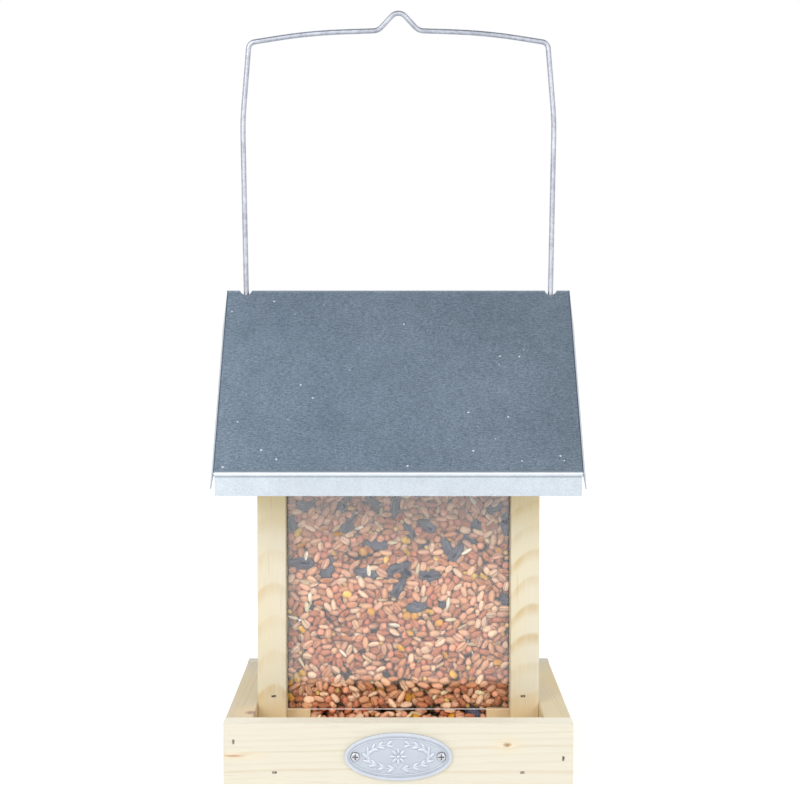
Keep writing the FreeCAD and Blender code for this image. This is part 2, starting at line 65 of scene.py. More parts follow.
Pair = tuple[float, float]
Triple = tuple[float, float, float]
Colour = tuple[float, float, float]
Operand = Union["Signal", float, Sequence[float]]
# A mark of the plate's ornament: X and Z from the plate's middle, turn, and half sizes.
Mark = tuple[float, float, float, Triple]

RIGHT: Triple = (1.0, 0.0, 0.0)
BACK: Triple = (0.0, 1.0, 0.0)
FRONT: Triple = (0.0, -1.0, 0.0)
UP: Triple = (0.0, 0.0, 1.0)
DOWN: Triple = (0.0, 0.0, -1.0)
WHITE: Colour = (1.0, 1.0, 1.0)


def srgb(red: int, green: int, blue: int) -> Colour:
    """Turns a display colour into the linear values that shaders take.

    Args:
        red: display red, 0 to 255
        green: display green, 0 to 255
        blue: display blue, 0 to 255

    Returns:
        The linear red, green and blue.
    """
    shares = (red / 255, green / 255, blue / 255)
    return tuple(((share + 0.055) / 1.055) ** 2.4 for share in shares)


def placed(name: str, data: bpy.types.ID) -> bpy.types.Object:
    """Puts a new object in the scene.

    Args:
        name: its name
        data: its mesh, lamp or camera

    Returns:
        The object.
    """
    made = bpy.data.objects.new(name, data)
    bpy.context.scene.collection.objects.link(made)
    return made


class Signal:
    """A shader socket that Python's operators work on. Each operation adds its node to the graph."""

    def __init__(self, graph: "Graph", socket: bpy.types.NodeSocket) -> None:
        """Keeps the socket and the graph that its operations add nodes to."""
        self.graph = graph
        self.socket = socket

    def _pair(self, operation: str, first: Operand, second: Operand) -> "Signal":
        """Adds the node of an operation on two operands.

        Args:
            operation: the node's own name of the operation
            first: the left operand
            second: the right operand

        Returns:
            The result, a colour or a vector if either operand is one.
        """
        kinds = {item.socket.type for item in (first, second) if isinstance(item, Signal)}
        if "RGBA" in kinds:
            settings = {"data_type": "RGBA", "blend_type": operation}
            return self.graph.node("Mix", settings, {"Factor": 1.0, "A": first, "B": second})
        spread = any(not isinstance(item, (Signal, int, float)) for item in (first, second))
        kind = "VectorMath" if spread or "VECTOR" in kinds else "Math"
        return self.graph.node(kind, {"operation": operation}, {0: first, 1: second})

    def __add__(self, other: Operand) -> "Signal":
        """Gives self + other."""
        return self._pair("ADD", self, other)

    def __radd__(self, other: Operand) -> "Signal":
        """Gives other + self."""
        return self._pair("ADD", other, self)

    def __sub__(self, other: Operand) -> "Signal":
        """Gives self - other."""
        return self._pair("SUBTRACT", self, other)

    def __rsub__(self, other: Operand) -> "Signal":
        """Gives other - self."""
        return self._pair("SUBTRACT", other, self)

    def __mul__(self, other: Operand) -> "Signal":
        """Gives self * other."""
        return self._pair("MULTIPLY", self, other)

    def __rmul__(self, other: Operand) -> "Signal":
        """Gives other * self."""
        return self._pair("MULTIPLY", other, self)

    def __truediv__(self, other: Operand) -> "Signal":
        """Gives self / other."""
        return self._pair("DIVIDE", self, other)

    def __rtruediv__(self, other: Operand) -> "Signal":
        """Gives other / self."""
        return self._pair("DIVIDE", other, self)

    def __abs__(self) -> "Signal":
        """Gives the value without its sign."""
        return self.graph.node("Math", {"operation": "ABSOLUTE"}, {0: self})

    def fraction(self) -> "Signal":
        """Gives what is left of the value above its whole number."""
        return self.graph.node("Math", {"operation": "FRACT"}, {0: self})

    def larger(self, other: Operand) -> "Signal":
        """Gives the larger of two values."""
        return self._pair("MAXIMUM", self, other)

    def length(self) -> "Signal":
        """Gives the vector's length."""
        return self.graph.node("VectorMath", {"operation": "LENGTH"}, {0: self})

    def dot(self, other: Operand) -> "Signal":
        """Gives the dot product with another vector."""
        return self._pair("DOT_PRODUCT", self, other)

    def rise(self, low: float, high: float) -> "Signal":
        """Gives a smooth step, 0 up to low and 1 from high."""
        inputs = {"Value": self, "From Min": low, "From Max": high}
        return self.graph.node("MapRange", {"interpolation_type": "SMOOTHSTEP"}, inputs)

    def pick(self, none: Operand, full: Operand) -> "Signal":
        """Mixes two colours, the first where the value is 0 and the second where it is 1."""
        return self.graph.node("Mix", {"data_type": "RGBA"}, {"Factor": self, "A": none, "B": full})


class Graph:
    """A node tree that is being written."""

    def __init__(self, tree: bpy.types.NodeTree) -> None:
        """Takes a new tree and keeps only its output node.

        Args:
            tree: the tree
        """
        self.tree = tree
        self.output = next(item for item in tree.nodes if item.bl_idname.startswith("ShaderNodeOutput"))
        for item in [item for item in tree.nodes if item != self.output]:
            tree.nodes.remove(item)

    @staticmethod
    def _socket(sockets: Sequence[bpy.types.NodeSocket], key: int | str) -> bpy.types.NodeSocket:
        """Finds a socket in use by its place or its name."""
        used = [item for item in sockets if item.enabled]
        return used[key] if isinstance(key, int) else next(item for item in used if item.name == key)

    def _feed(self, socket: bpy.types.NodeSocket, value: Operand) -> None:
        """Links a signal to a socket, or sets the socket's own value.

        Args:
            socket: the input socket
            value: a signal, a number, or the parts of a vector or a colour
        """
        if isinstance(value, Signal):
            self.tree.links.new(value.socket, socket)
            return
        if socket.type in ("RGBA", "VECTOR"):
            value = (value,) * 3 if isinstance(value, (int, float)) else tuple(value)
            value = (*value[:3], 1.0) if socket.type == "RGBA" else value
        socket.default_value = value

    def node(self, kind: str, settings: Mapping[str, Any] | None = None,
             inputs: Mapping[int | str, Operand] | None = None, output: int | str = 0) -> Signal:
        """Adds a node.

        Args:
            kind: the node's type, without the words that all shader nodes start with
            settings: properties, set first
            inputs: values or links of its sockets, by place or name
            output: the output that is wanted, by place or name

        Returns:
            That output.
        """
        made = self.tree.nodes.new("ShaderNode" + kind)
        for name, value in (settings or {}).items():
            setattr(made, name, value)
        for key, value in (inputs or {}).items():
            self._feed(self._socket(made.inputs, key), value)
        return Signal(self, self._socket(made.outputs, output))

    def noise(self, place: Signal, scale: float, detail: float = 2.0, roughness: float = 0.5) -> Signal:
        """Adds a noise texture, 0 to 1.

        Args:
            place: where it is read
            scale: its waves per unit of place
            detail: its finer layers
            roughness: the strength of the finer layers

        Returns:
            The noise.
        """
        inputs = {"Vector": place, "Scale": scale, "Detail": detail, "Roughness": roughness}
        return self.node("TexNoise", {}, inputs)

    def bump(self, height: Signal, depth: float, strength: float) -> Signal:
        """Adds a bump of the given depth in metres, and gives the normal."""
        return self.node("Bump", {}, {"Height": height, "Distance": depth, "Strength": strength})

    def place(self) -> Signal:
        """Gives the place on the piece, in metres of the shared frame at rest."""
        return self.node("TexCoord", output="Object")

    def facing(self) -> Signal:
        """Gives the way that the face looks."""
        return self.node("NewGeometry", output="True Normal")

    def skin(self, colour: Signal, roughness: Signal, normal: Signal, rest: Mapping[str, Operand]) -> Signal:
        """Adds a principled shader.

        Args:
            colour: its base colour
            roughness: its roughness
            normal: its normal
            rest: values or links of its other sockets, by name

        Returns:
            The shader.
        """
        inputs = {"Base Color": colour, "Roughness": roughness, "Normal": normal, **rest}
        return self.node("BsdfPrincipled", {}, inputs)

    def close(self, shader: Signal) -> None:
        """Links the finished shader to the output."""
        self.tree.links.new(shader.socket, self.output.inputs["Surface"])


class Finish:
    """A surface finish: one procedural material, shared by the pieces that wear it.

    Attributes:
        name: the material's name
    """

    name: str

    def surface(self, graph: Graph) -> Signal:
        """Adds the finish's nodes and gives its shader."""
        raise NotImplementedError

    def material(self) -> bpy.types.Material:
        """Makes the material on the first call.

        Returns:
            The material.
        """
        made = bpy.data.materials.get(self.name)
        if made is None:
            made = bpy.data.materials.new(self.name)
            made.use_nodes = True
            graph = Graph(made.node_tree)
            graph.close(self.surface(graph))
        return made


class Grain(Enum):
    """The way that a board's grain runs."""

    ALONG_X = RIGHT
    ALONG_Y = BACK
    UPRIGHT = UP


@dataclass(frozen=True)
class Knot:
    """A knot, or a resin streak where it is stretched far along the grain.

    Attributes:
        place: its middle, in mm
        radius: its half width, in mm
        stretch: its length over its width
        tint: its colour at the middle
        aura: how far the wood round it is amber, 0 to 1
    """

    place: Triple
    radius: float
    stretch: float
    tint: Colour
    aura: float = 0.2


@dataclass(frozen=True)
class Spruce(Finish):
    """A board of planed, untreated spruce: growth rings about the log's heart, cut by the board's faces.

    Attributes:
        node: the board
        grain: the way its grain runs
        heart: where the log's heart lies from the middle of the board, in mm
        lean: how far the heart drifts across the board, in mm per mm of grain
        tone: 0 for the palest board, 1 for the most golden
        figure: how strongly its rings show
        knots: its knots and streaks
        stain_and_warm_bounce: height below which painted warm light, bounced inside the tray, turns it
            amber, in mm
        eave_shade: how strongly the painted shade under the eave turns it golden, 0 to 1
        ring: width of its growth rings, in mm
        wander: how far its rings stray, in rings
        nap: how fuzzy its planed faces are, 0 to 1
        top_light: how much painted light pales its upward faces, 0 to 1
        early: colour of its early wood
        late: colour of its late wood
        golden: colour where its tone is golden, and of the painted shade under the eave
        fleck: colour of its resin flecks
        amber: colour round its knots, and of the painted warm bounce light at its foot
        fuzz: colour of its nap
        top_light_colour: colour of the painted light on its upward faces
        fade: height that the painted warm bounce light fades over, in mm
        kept: heights that the painted shade under the eave starts at and is full from, in mm
    """

    node: str
    grain: Grain
    heart: Triple
    lean: Triple
    tone: float
    figure: float
    knots: tuple[Knot, ...] = ()
    stain_and_warm_bounce: float = 0.0
    eave_shade: float = 0.7
    ring: float = 2.1
    wander: float = 2.2
    nap: float = 0.3
    top_light: float = 0.0
    early: Colour = srgb(209, 203, 186)
    late: Colour = srgb(186, 158, 114)
    golden: Colour = srgb(222, 198, 136)
    fleck: Colour = srgb(162, 116, 76)
    amber: Colour = srgb(230, 199, 148)
    fuzz: Colour = srgb(255, 244, 222)
    top_light_colour: Colour = srgb(227, 225, 209)
    fade: float = 18.0
    kept: Pair = (98.0, 148.0)

    @property
    def name(self) -> str:
        """Gives the material's name, after the board."""
        return f"spruce_{self.node}"

    def surface(self, graph: Graph) -> Signal:
        """Adds the rings, the fibres, the knots, and painted light: golden shade under the eave, warm bounce
        light at the foot and paler upward faces.

        Args:
            graph: the material's node tree

        Returns:
            The shader.
        """
        low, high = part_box(self.node)
        heart = (low + high) / 2 + Vector(self.heart) * MM
        ring = self.ring * MM
        lengthwise = Vector(self.grain.value)
        crosswise = Vector((1.0, 1.0, 1.0)) - lengthwise
        place = graph.place()
        own = place + tuple(heart * 7.0)

        def drawn(across: float, along: float, detail: float = 2.0, roughness: float = 0.5) -> Signal:
            """Adds noise of the board's own, with its waves per metre across and along the grain."""
            return graph.noise(own * tuple(crosswise * across + lengthwise * along), 1.0, detail, roughness)

        straying = drawn(24.0, 5.0) - 0.5
        strength = drawn(260.0, 9.0, 1.0)
        fibre = drawn(2600.0, 55.0, 3.0, 0.6)
        broad = drawn(45.0, 9.0)
        streak = drawn(900.0, 30.0, 1.0)

        drift = place.dot(tuple(lengthwise))
        across = (place - tuple(heart)) * tuple(crosswise) - drift * self.lean
        radius = across.length() + straying * (self.wander * ring)
        spots = []
        for knot in self.knots:
            squeeze = crosswise + lengthwise / knot.stretch
            middle = tuple(size * MM for size in knot.place)
            apart = ((place - middle) * tuple(squeeze)).length() / (knot.radius * MM)
            radius = radius + (1 - apart.rise(0.0, 3.0)) * (0.7 * ring)
            ragged = apart + (graph.noise(place, 1300.0) - 0.5) * 1.1
            spots.append(((1 - apart.rise(0.8, 5.0)) * knot.aura, self.amber))
            spots.append(((1 - ragged.rise(0.3, 1.1)) * 0.85, knot.tint))

        year = radius / ring
        part = year.fraction()
        season = graph.noise((year - part) * (0.73, 0.41, 0.57), 1.0, 1.0)
        band = part.rise(0.42, 0.85) * (1 - part.rise(0.86, 1.0))
        late = band * strength.rise(0.05, 0.7) * (season.rise(0.3, 0.7) * 1.2 + 0.3)
        height = place.dot(UP)
        # Painted shade: the timber turns golden towards the eave, where the roof shades it.
        painted_eave_shade = height.rise(self.kept[0] * MM, self.kept[1] * MM)
        # Painted light: warm light bounced inside the tray, amber towards the foot.
        painted_warm_bounce = 1 - height.rise((self.stain_and_warm_bounce - self.fade) * MM, self.stain_and_warm_bounce * MM)
        # Painted light: upward faces paler, as if lit from above.
        painted_top_light = graph.facing().dot(UP).rise(0.6, 0.9)
        gold = (broad.rise(0.3, 0.75) * 0.6 + 0.4) * self.tone

        colour = (late * self.figure).pick(self.early, self.late)
        # Painted shade under the eave, mixed with the board's own golden tone.
        colour = gold.larger(painted_eave_shade * self.eave_shade).pick(colour, self.golden)
        # Painted warm bounce light at the foot.
        colour = (painted_warm_bounce * 0.8).pick(colour, self.amber)
        # Painted light on the upward faces.
        colour = (painted_top_light * self.top_light).pick(colour, self.top_light_colour)
        colour = colour * (fibre * 0.14 + 0.93)
        colour = (streak.rise(0.66, 0.80) * 0.2).pick(colour, self.fleck)
        for mask, tint in spots:
            colour = mask.pick(colour, tint)
        roughness = fibre * 0.16 - band * 0.08 + 0.42
        normal = graph.bump(fibre + band * 0.5, 0.12 * MM, 0.45)
        rest = {"Specular IOR Level": 0.5, "Sheen Weight": self.nap, "Sheen Roughness": 0.4,
                "Sheen Tint": self.fuzz}
        return graph.skin(colour, roughness, normal, rest)


@dataclass(frozen=True)
class ZincSheet(Finish):
    """Rolled zinc sheet: fine speckle, faint rolling lines, painted highlights along the folds, and painted
    shade in the fold creases, on the gable strips and towards the ridge.

    Attributes:
        name: the material's name
        ridge: height of the ridge
        eave: height of the eave folds
        run: half the roof's depth
        end: half the length between the gable folds
        dull: colour of the dull speckle
        bright: colour of the bright speckle
        plain: colour of the upright strips under the eaves
        gable_strip_shade: colour of the painted shade on the strips along the gables
        dust_and_fold_highlight: colour of the painted highlights on the folds, and of dust
        fold_shade: colour of the painted shade in the fold creases
    """

    name: str
    ridge: float
    eave: float
    run: float
    end: float
    dull: Colour = srgb(164, 176, 187)
    bright: Colour = srgb(221, 228, 234)
    plain: Colour = srgb(193, 200, 205)
    gable_strip_shade: Colour = srgb(164, 171, 178)
    dust_and_fold_highlight: Colour = srgb(246, 248, 250)
    fold_shade: Colour = srgb(84, 96, 112)

    def surface(self, graph: Graph) -> Signal:
        """Adds the speckle, the rolling lines, painted highlights and shade at the folds, painted shade on
        the gable strips and by the ridge, and the dust.

        Args:
            graph: the material's node tree

        Returns:
            The shader.
        """
        place = graph.place()
        depth = abs(place.dot(BACK))
        height = place.dot(UP)
        outward = abs(place.dot(RIGHT)) - self.end

        cloud = graph.noise(place, 16.0, 3.0)
        patch = graph.noise(place, 110.0, 2.0)
        rolled = graph.noise(place * (450.0, 1900.0, 1900.0), 1.0, 2.0, 0.7)
        grit = graph.noise(place, 1700.0, 3.0, 0.75)
        mottle = grit * 0.55 + rolled * 0.45
        cells = graph.node("TexVoronoi", {}, {"Vector": place, "Scale": 110.0})

        upright = depth.rise(self.run - 1.5 * MM, self.run - 1.0 * MM)
        # Painted shade: darker towards the ridge.
        ridge_shade = height.rise(self.ridge - 65.0 * MM, self.ridge)
        # Painted highlights along the ridge fold and the eave fold.
        ridge_fold_highlight = 1 - depth.rise(0.6 * MM, 2.4 * MM)
        eave_fold_highlight = 1 - abs(height - self.eave).rise(0.3 * MM, 1.2 * MM)
        # Painted shade: dark lines under the eave fold and at the gable folds.
        eave_crease_shade = 1 - abs(height - (self.eave - 1.9 * MM)).rise(0.15 * MM, 0.6 * MM)
        # Painted shade on the gable strips beyond their folds.
        beyond = outward.rise(0.1 * MM, 0.5 * MM)
        gable_fold_shade = 1 - abs(outward).rise(0.2 * MM, 0.8 * MM)
        dust = (1 - cells.rise(0.04, 0.075)) * (1 - outward.rise(-1.6 * MM, -MM)) * (1 - upright)

        colour = mottle.rise(0.40, 0.60).pick(self.dull, self.bright)
        colour = (upright * 0.75).pick(colour, self.plain)
        # Painted shade towards the ridge, with the cloud and patch mottle.
        colour = colour * (cloud * 0.28 + patch * 0.2 - ridge_shade * 0.1 + 0.76)
        # Painted highlights on the folds.
        colour = (ridge_fold_highlight.larger(eave_fold_highlight) * 0.5).pick(colour, self.dust_and_fold_highlight)
        # Painted shade in the crease under the eave fold.
        colour = (eave_crease_shade * upright * 0.5).pick(colour, self.fold_shade)
        # Painted shade on the gable strips.
        colour = (beyond * 0.6).pick(colour, self.gable_strip_shade)
        # Painted shade in the gable folds.
        colour = (gable_fold_shade * 0.7).pick(colour, self.fold_shade)
        colour = dust.pick(colour, self.dust_and_fold_highlight)
        roughness = mottle * 0.2 + cloud * 0.1 + 0.2
        normal = graph.bump(mottle, 0.05 * MM, 0.5)
        return graph.skin(colour, roughness, normal, {"Metallic": 1 - dust * 0.6})


@dataclass(frozen=True)
class GalvanisedWire(Finish):
    """Drawn steel wire with a mottled zinc coat.

    Attributes:
        name: the material's name
        dull: colour of the dull mottle
        bright: colour of the bright mottle
    """

    name: str = "galvanised_wire_coat"
    dull: Colour = srgb(152, 154, 163)
    bright: Colour = srgb(192, 195, 203)

    def surface(self, graph: Graph) -> Signal:
        """Adds the coat's mottle.

        Args:
            graph: the material's node tree

        Returns:
            The shader.
        """
        place = graph.place()
        mottle = graph.noise(place, 420.0, 3.0, 0.6)
        runs = graph.noise(place * (90.0, 500.0, 90.0), 1.0, 2.0)
        colour = (mottle * 0.6 + runs * 0.4).rise(0.25, 0.75).pick(self.dull, self.bright)
        normal = graph.bump(mottle, 0.04 * MM, 0.3)
        return graph.skin(colour, mottle * 0.2 + 0.3, normal, {"Metallic": 1.0})


@dataclass(frozen=True)
class PressedZinc(Finish):
    """Matt pressed zinc, a little darker in the hollows beside what stands proud.

    Attributes:
        name: the material's name
        field: the Y of the plate's flat field
        proud: how far the rim stands out of it
        hollow: colour of the hollows
        crest: colour of what stands proud
    """

    name: str
    field: float
    proud: float
    hollow: Colour = srgb(190, 196, 204)
    crest: Colour = srgb(201, 206, 214)

    def surface(self, graph: Graph) -> Signal:
        """Adds the worn crests and the cast grain.

        Args:
            graph: the material's node tree

        Returns:
            The shader.
        """
        place = graph.place()
        grit = graph.noise(place, 1700.0, 3.0, 0.7)
        cloud = graph.noise(place, 160.0, 2.0)
        height = (place.dot(FRONT) + self.field) / self.proud
        worn = height + (grit - 0.5) * 0.5
        colour = worn.rise(0.05, 0.9).pick(self.hollow, self.crest)
        colour = colour * (grit * 0.16 + cloud * 0.12 + 0.86)
        normal = graph.bump(grit, 0.05 * MM, 0.5)
        return graph.skin(colour, grit * 0.2 + 0.36, normal, {"Metallic": 0.85})


@dataclass(frozen=True)
class Steel(Finish):
    """Plated or oxidised steel of small fasteners.

    Attributes:
        name: the material's name
        clean: colour where it is clean
        stained: colour where it is stained
        stain_and_warm_bounce: how much of it is stained, 0 to 1
        sunk: the Y behind which a recess in a head lies, far behind where there is none
        shade: colour of the painted shade in the recess
    """

    name: str
    clean: Colour
    stained: Colour
    stain_and_warm_bounce: float
    sunk: float = 1.0
    shade: Colour = srgb(70, 70, 76)

    def surface(self, graph: Graph) -> Signal:
        """Adds the stain, the painted shade in the recess and the fine scratches.

        Args:
            graph: the material's node tree

        Returns:
            The shader.
        """
        place = graph.place()
        patch = graph.noise(place, 900.0, 3.0, 0.6)
        scratch = graph.noise(place * (400.0, 400.0, 5200.0), 1.0, 2.0)
        edge = 0.75 - 0.5 * self.stain_and_warm_bounce
        mask = patch.rise(edge - 0.12, edge + 0.12)
        behind = place.dot(BACK) - self.sunk
        colour = mask.pick(self.clean, self.stained)
        # Painted shade in the cross recess of a screw head.
        colour = (behind.rise(0.0, 0.3 * MM) * 0.85).pick(colour, self.shade)
        roughness = mask * 0.3 + scratch * 0.2 + 0.2
        normal = graph.bump(scratch + patch * 0.5, 0.03 * MM, 0.4)
        return graph.skin(colour, roughness, normal, {"Metallic": 0.9})


BRAD_STEEL = Steel("brad_steel", clean=srgb(176, 168, 156), stained=srgb(74, 60, 46), stain_and_warm_bounce=0.5)


@dataclass(frozen=True)
class ClearAcrylic(Finish):
    """Clear acrylic pane with a hard coat and sawn, frosted edges with a painted glow. Lamps shine through
    it.

    Attributes:
        name: the material's name
        tint: colour of the clear faces
        sawn: colour of the saw marks
        glow: colour of the painted glow that stands in for light gathering in the edges
    """

    name: str = "clear_acrylic_pane"
    tint: Colour = (0.985, 0.99, 0.99)
    sawn: Colour = srgb(226, 230, 234)
    glow: Colour = srgb(240, 222, 216)

    def surface(self, graph: Graph) -> Signal:
        """Adds the clear faces and the frosted edges with their painted glow.

        Args:
            graph: the material's node tree

        Returns:
            The shader.
        """
        clear_inputs = {"Base Color": self.tint, "Roughness": 0.03, "IOR": 1.49, "Transmission Weight": 1.0,
                        "Coat Weight": 0.7, "Coat Roughness": 0.05, "Coat IOR": 1.6}
        clear = graph.node("BsdfPrincipled", {}, clear_inputs)
        marks = graph.noise(graph.place() * (900.0, 900.0, 260.0), 1.0, 2.0)
        # Painted glow: the sawn edges emit light although they are no lamp.
        edge_inputs = {"Base Color": marks.pick(self.sawn, WHITE), "Roughness": 0.5,
                       "Emission Color": self.glow, "Emission Strength": 0.55}
        edge = graph.node("BsdfPrincipled", {}, edge_inputs)
        is_edge = (1 - abs(graph.facing().dot(BACK))).rise(0.4, 0.6)
        pane = graph.node("MixShader", {}, {0: is_edge, 1: clear, 2: edge})
        lamp = graph.node("LightPath", output="Is Shadow Ray")
        through = graph.node("BsdfTransparent")
        return graph.node("MixShader", {}, {0: lamp, 1: pane, 2: through})


@dataclass(frozen=True)
class SeedCoat(Finish):
    """The skin of one kind of seed, over each seed's own tint.

    Attributes:
        name: the material's name
        crease: how dark the painted shade in the crease along one side is
        stripe: how strong the pale stripes along the husk are
        tip: how dark the germ end is
        gloss: how smooth the skin is, 0 to 1
        dark: colour of the painted shade in the crease, and of the germ end
        pale: colour of the stripes
    """

    name: str
    crease: float = 0.0
    stripe: float = 0.0
    tip: float = 0.3
    gloss: float = 0.5
    dark: Colour = srgb(92, 52, 30)
    pale: Colour = srgb(176, 176, 180)

    def surface(self, graph: Graph) -> Signal:
        """Adds the mottle, the painted shade in the crease, the germ end and the stripes.

        Args:
            graph: the material's node tree

        Returns:
            The shader.
        """
        tint = graph.node("Attribute", {"attribute_name": "tint"}, output="Color")
        own = graph.node("Attribute", {"attribute_name": "own_place"}, output="Vector")
        place = graph.place()
        mottle = graph.noise(place, 900.0, 3.0, 0.6)
        lines = graph.noise(own * (0.7, 4.6, 4.6) + place * (9.0, 9.0, 9.0), 1.0, 1.0)
        # Painted shade in the crease along the seed's underside.
        in_middle = 1 - abs(own.dot(BACK)).rise(0.03, 0.22)
        painted_crease_shade = in_middle * own.dot(DOWN).rise(0.15, 0.5)
        germ = own.dot(RIGHT).rise(0.66, 0.98)
        colour = tint * ((mottle * 0.5 + 0.75) * (lines * 0.5 + 0.75))
        colour = (painted_crease_shade * self.crease).pick(colour, self.dark)
        colour = (germ * self.tip).pick(colour, self.dark)
        colour = (lines.rise(0.56, 0.64) * self.stripe).pick(colour, self.pale)
        roughness = mottle * 0.2 + (0.62 - 0.3 * self.gloss)
        normal = graph.bump(mottle, 0.15 * MM, 0.35)
        return graph.skin(colour, roughness, normal, {"Specular IOR Level": 0.4})


class Form(Enum):
    """The shape of a small rounded body."""

    GRAIN = "a cereal grain, with a crease along one side"
    BALL = "a round seed"
    HUSK = "a flat husk, pointed at one end"
    CHIP = "a broken, angular bit"
    LEAF = "a leaf, pointed at both ends"


@dataclass(frozen=True)
class Pattern:
    """One small body in a unit box, as arrays to copy from.

    Attributes:
        points: its points, from -1 to 1 each way, the length along X
        corners: the point at each face corner, face after face
        starts: where each face starts in corners
        chart: the place of each corner on a unit map
    """

    points: np.ndarray
    corners: np.ndarray
    starts: np.ndarray
    chart: np.ndarray

    @classmethod
    def make(cls, form: Form, rings: int, sides: int) -> "Pattern":
        """Builds the rings between two poles and shapes them.

        Args:
            form: the shape
            rings: rings of points between the poles
            sides: points round each ring

        Returns:
            The pattern.
        """
        turn = 2 * math.pi * np.arange(sides) / sides - math.pi / 2
        step = math.pi * np.arange(1, rings + 1) / (rings + 1)
        along = np.repeat(-np.cos(step), sides)
        wide = np.repeat(np.sin(step), sides)
        angle = np.tile(turn, rings)
        body = np.column_stack((along, wide * np.cos(angle), wide * np.sin(angle)))
        points = np.vstack(((-1.0, 0.0, 0.0), body, (1.0, 0.0, 0.0)))
        last = len(points) - 1
        corners, starts, chart = [], [], []
        for side in range(sides):
            following = (side + 1) % sides
            left, right = side / sides, (side + 1) / sides
            middle = (left + right) / 2
            for ring in range(rings + 1):
                low, high = ring / (rings + 1), (ring + 1) / (rings + 1)
                near = 1 + (ring - 1) * sides
                far = near + sides
                starts.append(len(corners))
                if ring == 0:
                    corners += [0, far + following, far + side]
                    chart += [(middle, low), (right, high), (left, high)]
                elif ring == rings:
                    corners += [near + side, near + following, last]
                    chart += [(left, low), (right, low), (middle, high)]
                else:
                    corners += [near + side, near + following, far + following, far + side]
                    chart += [(left, low), (right, low), (right, high), (left, high)]
        return cls(cls._shape(form, points), np.array(corners), np.array(starts), np.array(chart))

    @staticmethod
    def _shape(form: Form, points: np.ndarray) -> np.ndarray:
        """Bends a round body's points into a form.

        Args:
            form: the shape
            points: points of a unit ball

        Returns:
            The shaped points.
        """
        x, y, z = points.T.copy()
        if form is Form.GRAIN:
            blunt = np.sqrt(np.clip(1 - x ** 2, 0.05, 1)) ** 0.12
            plump = (1 - 0.14 * x) / blunt
            y, z = y * plump, z * plump
            crease = 0.3 * np.exp(-(y / 0.24) ** 2) * (1 - x ** 2)
            z += crease * (z < -0.05)
        elif form is Form.HUSK:
            taper = np.clip(1.06 - 0.42 * x - 0.16 * x ** 2, 0.1, None)
            y, z = y * taper, z * taper * (1 - 0.3 * np.abs(y))
        elif form is Form.LEAF:
            y *= np.sqrt(np.clip(1 - x ** 2, 0, None)) ** 0.6
        elif form is Form.CHIP:
            y += 0.28 * np.sign(z) * (1 - np.abs(x))
            z *= 0.8 + 0.3 * np.sign(x * y)
        return np.column_stack((x, y, z))


@dataclass(frozen=True)
class Copies:
    """Many copies of a pattern, each with its own size, place and turn.

    Attributes:
        pattern: what is copied
        middles: the middle of each copy
        turns: each copy's own axes, as the columns of a matrix
        halves: each copy's half length, half width and half thickness
        tints: each copy's colour
        margin: what is kept free round a copy on the map, in shares of its cell
    """

    pattern: Pattern
    middles: np.ndarray
    turns: np.ndarray
    halves: np.ndarray
    tints: np.ndarray
    margin: float = 0.06

    def piece(self, name: str) -> bpy.types.Object:
        """Joins the copies in one mesh.

        Args:
            name: the piece's name

        Returns:
            The new object.
        """
        count, size = len(self.middles), len(self.pattern.points)
        local = self.pattern.points[None] * self.halves[:, None]
        points = np.einsum("nij,nvj->nvi", self.turns, local) + self.middles[:, None]
        copy = np.arange(count)[:, None]
        corners = (self.pattern.corners[None] + copy * size).ravel()
        starts = (self.pattern.starts[None] + copy * len(self.pattern.corners)).ravel()
        mesh = bpy.data.meshes.new(name)
        mesh.vertices.add(count * size)
        mesh.vertices.foreach_set("co", points.ravel())
        mesh.loops.add(len(corners))
        mesh.loops.foreach_set("vertex_index", corners)
        mesh.polygons.add(len(starts))
        mesh.polygons.foreach_set("loop_start", starts)
        mesh.update(calc_edges=True)
        mesh.shade_smooth()
        self._paint(mesh)
        return placed(name, mesh)

    def _paint(self, mesh: bpy.types.Mesh) -> None:
        """Gives each copy a cell of the map, its tint, and its points' places on the pattern.

        Args:
            mesh: the joined mesh
        """
        count, size = len(self.middles), len(self.pattern.points)
        cells = math.ceil(math.sqrt(count))
        number = np.arange(count)
        corner = np.column_stack((number % cells, number // cells))
        chart = self.margin + (1 - 2 * self.margin) * self.pattern.chart
        layer = mesh.uv_layers.new(name="OFBake")
        layer.data.foreach_set("uv", ((corner[:, None] + chart[None]) / cells).ravel())
        tint = mesh.attributes.new("tint", "FLOAT_COLOR", "POINT")
        rows = np.column_stack((self.tints, np.ones(count)))
        tint.data.foreach_set("color", np.repeat(rows, size, axis=0).ravel())
        own = mesh.attributes.new("own_place", "FLOAT_VECTOR", "POINT")
        own.data.foreach_set("vector", np.tile(self.pattern.points, (count, 1)).ravel())


class SubAssembly:
    """Pieces that are built and dressed together.

    Attributes:
        body: the body that new pieces ride on
    """

    body = "silo"

    def build(self) -> list[bpy.types.Object]:
        """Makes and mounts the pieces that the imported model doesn't hold, and gives them."""
        return []

    def dress(self) -> list[str]:
        """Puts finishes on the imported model's pieces, and gives their names."""
        return []

    @staticmethod
    def wear(node: str, finish: Finish) -> str:
        """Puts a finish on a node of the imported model.

        Args:
            node: the node's name
            finish: its finish

        Returns:
            The node's name.
        """
        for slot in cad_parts[node].material_slots:
            slot.material = finish.material()
        return node

    def mount(self, piece: bpy.types.Object, finish: Finish, slot: str) -> bpy.types.Object:
        """Puts a new piece on this sub-assembly's body.

        Args:
            piece: the new piece
            finish: its finish
            slot: not used

        Returns:
            The piece.
        """
        piece.data.materials.append(finish.material())
        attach(piece, self.body)
        return piece


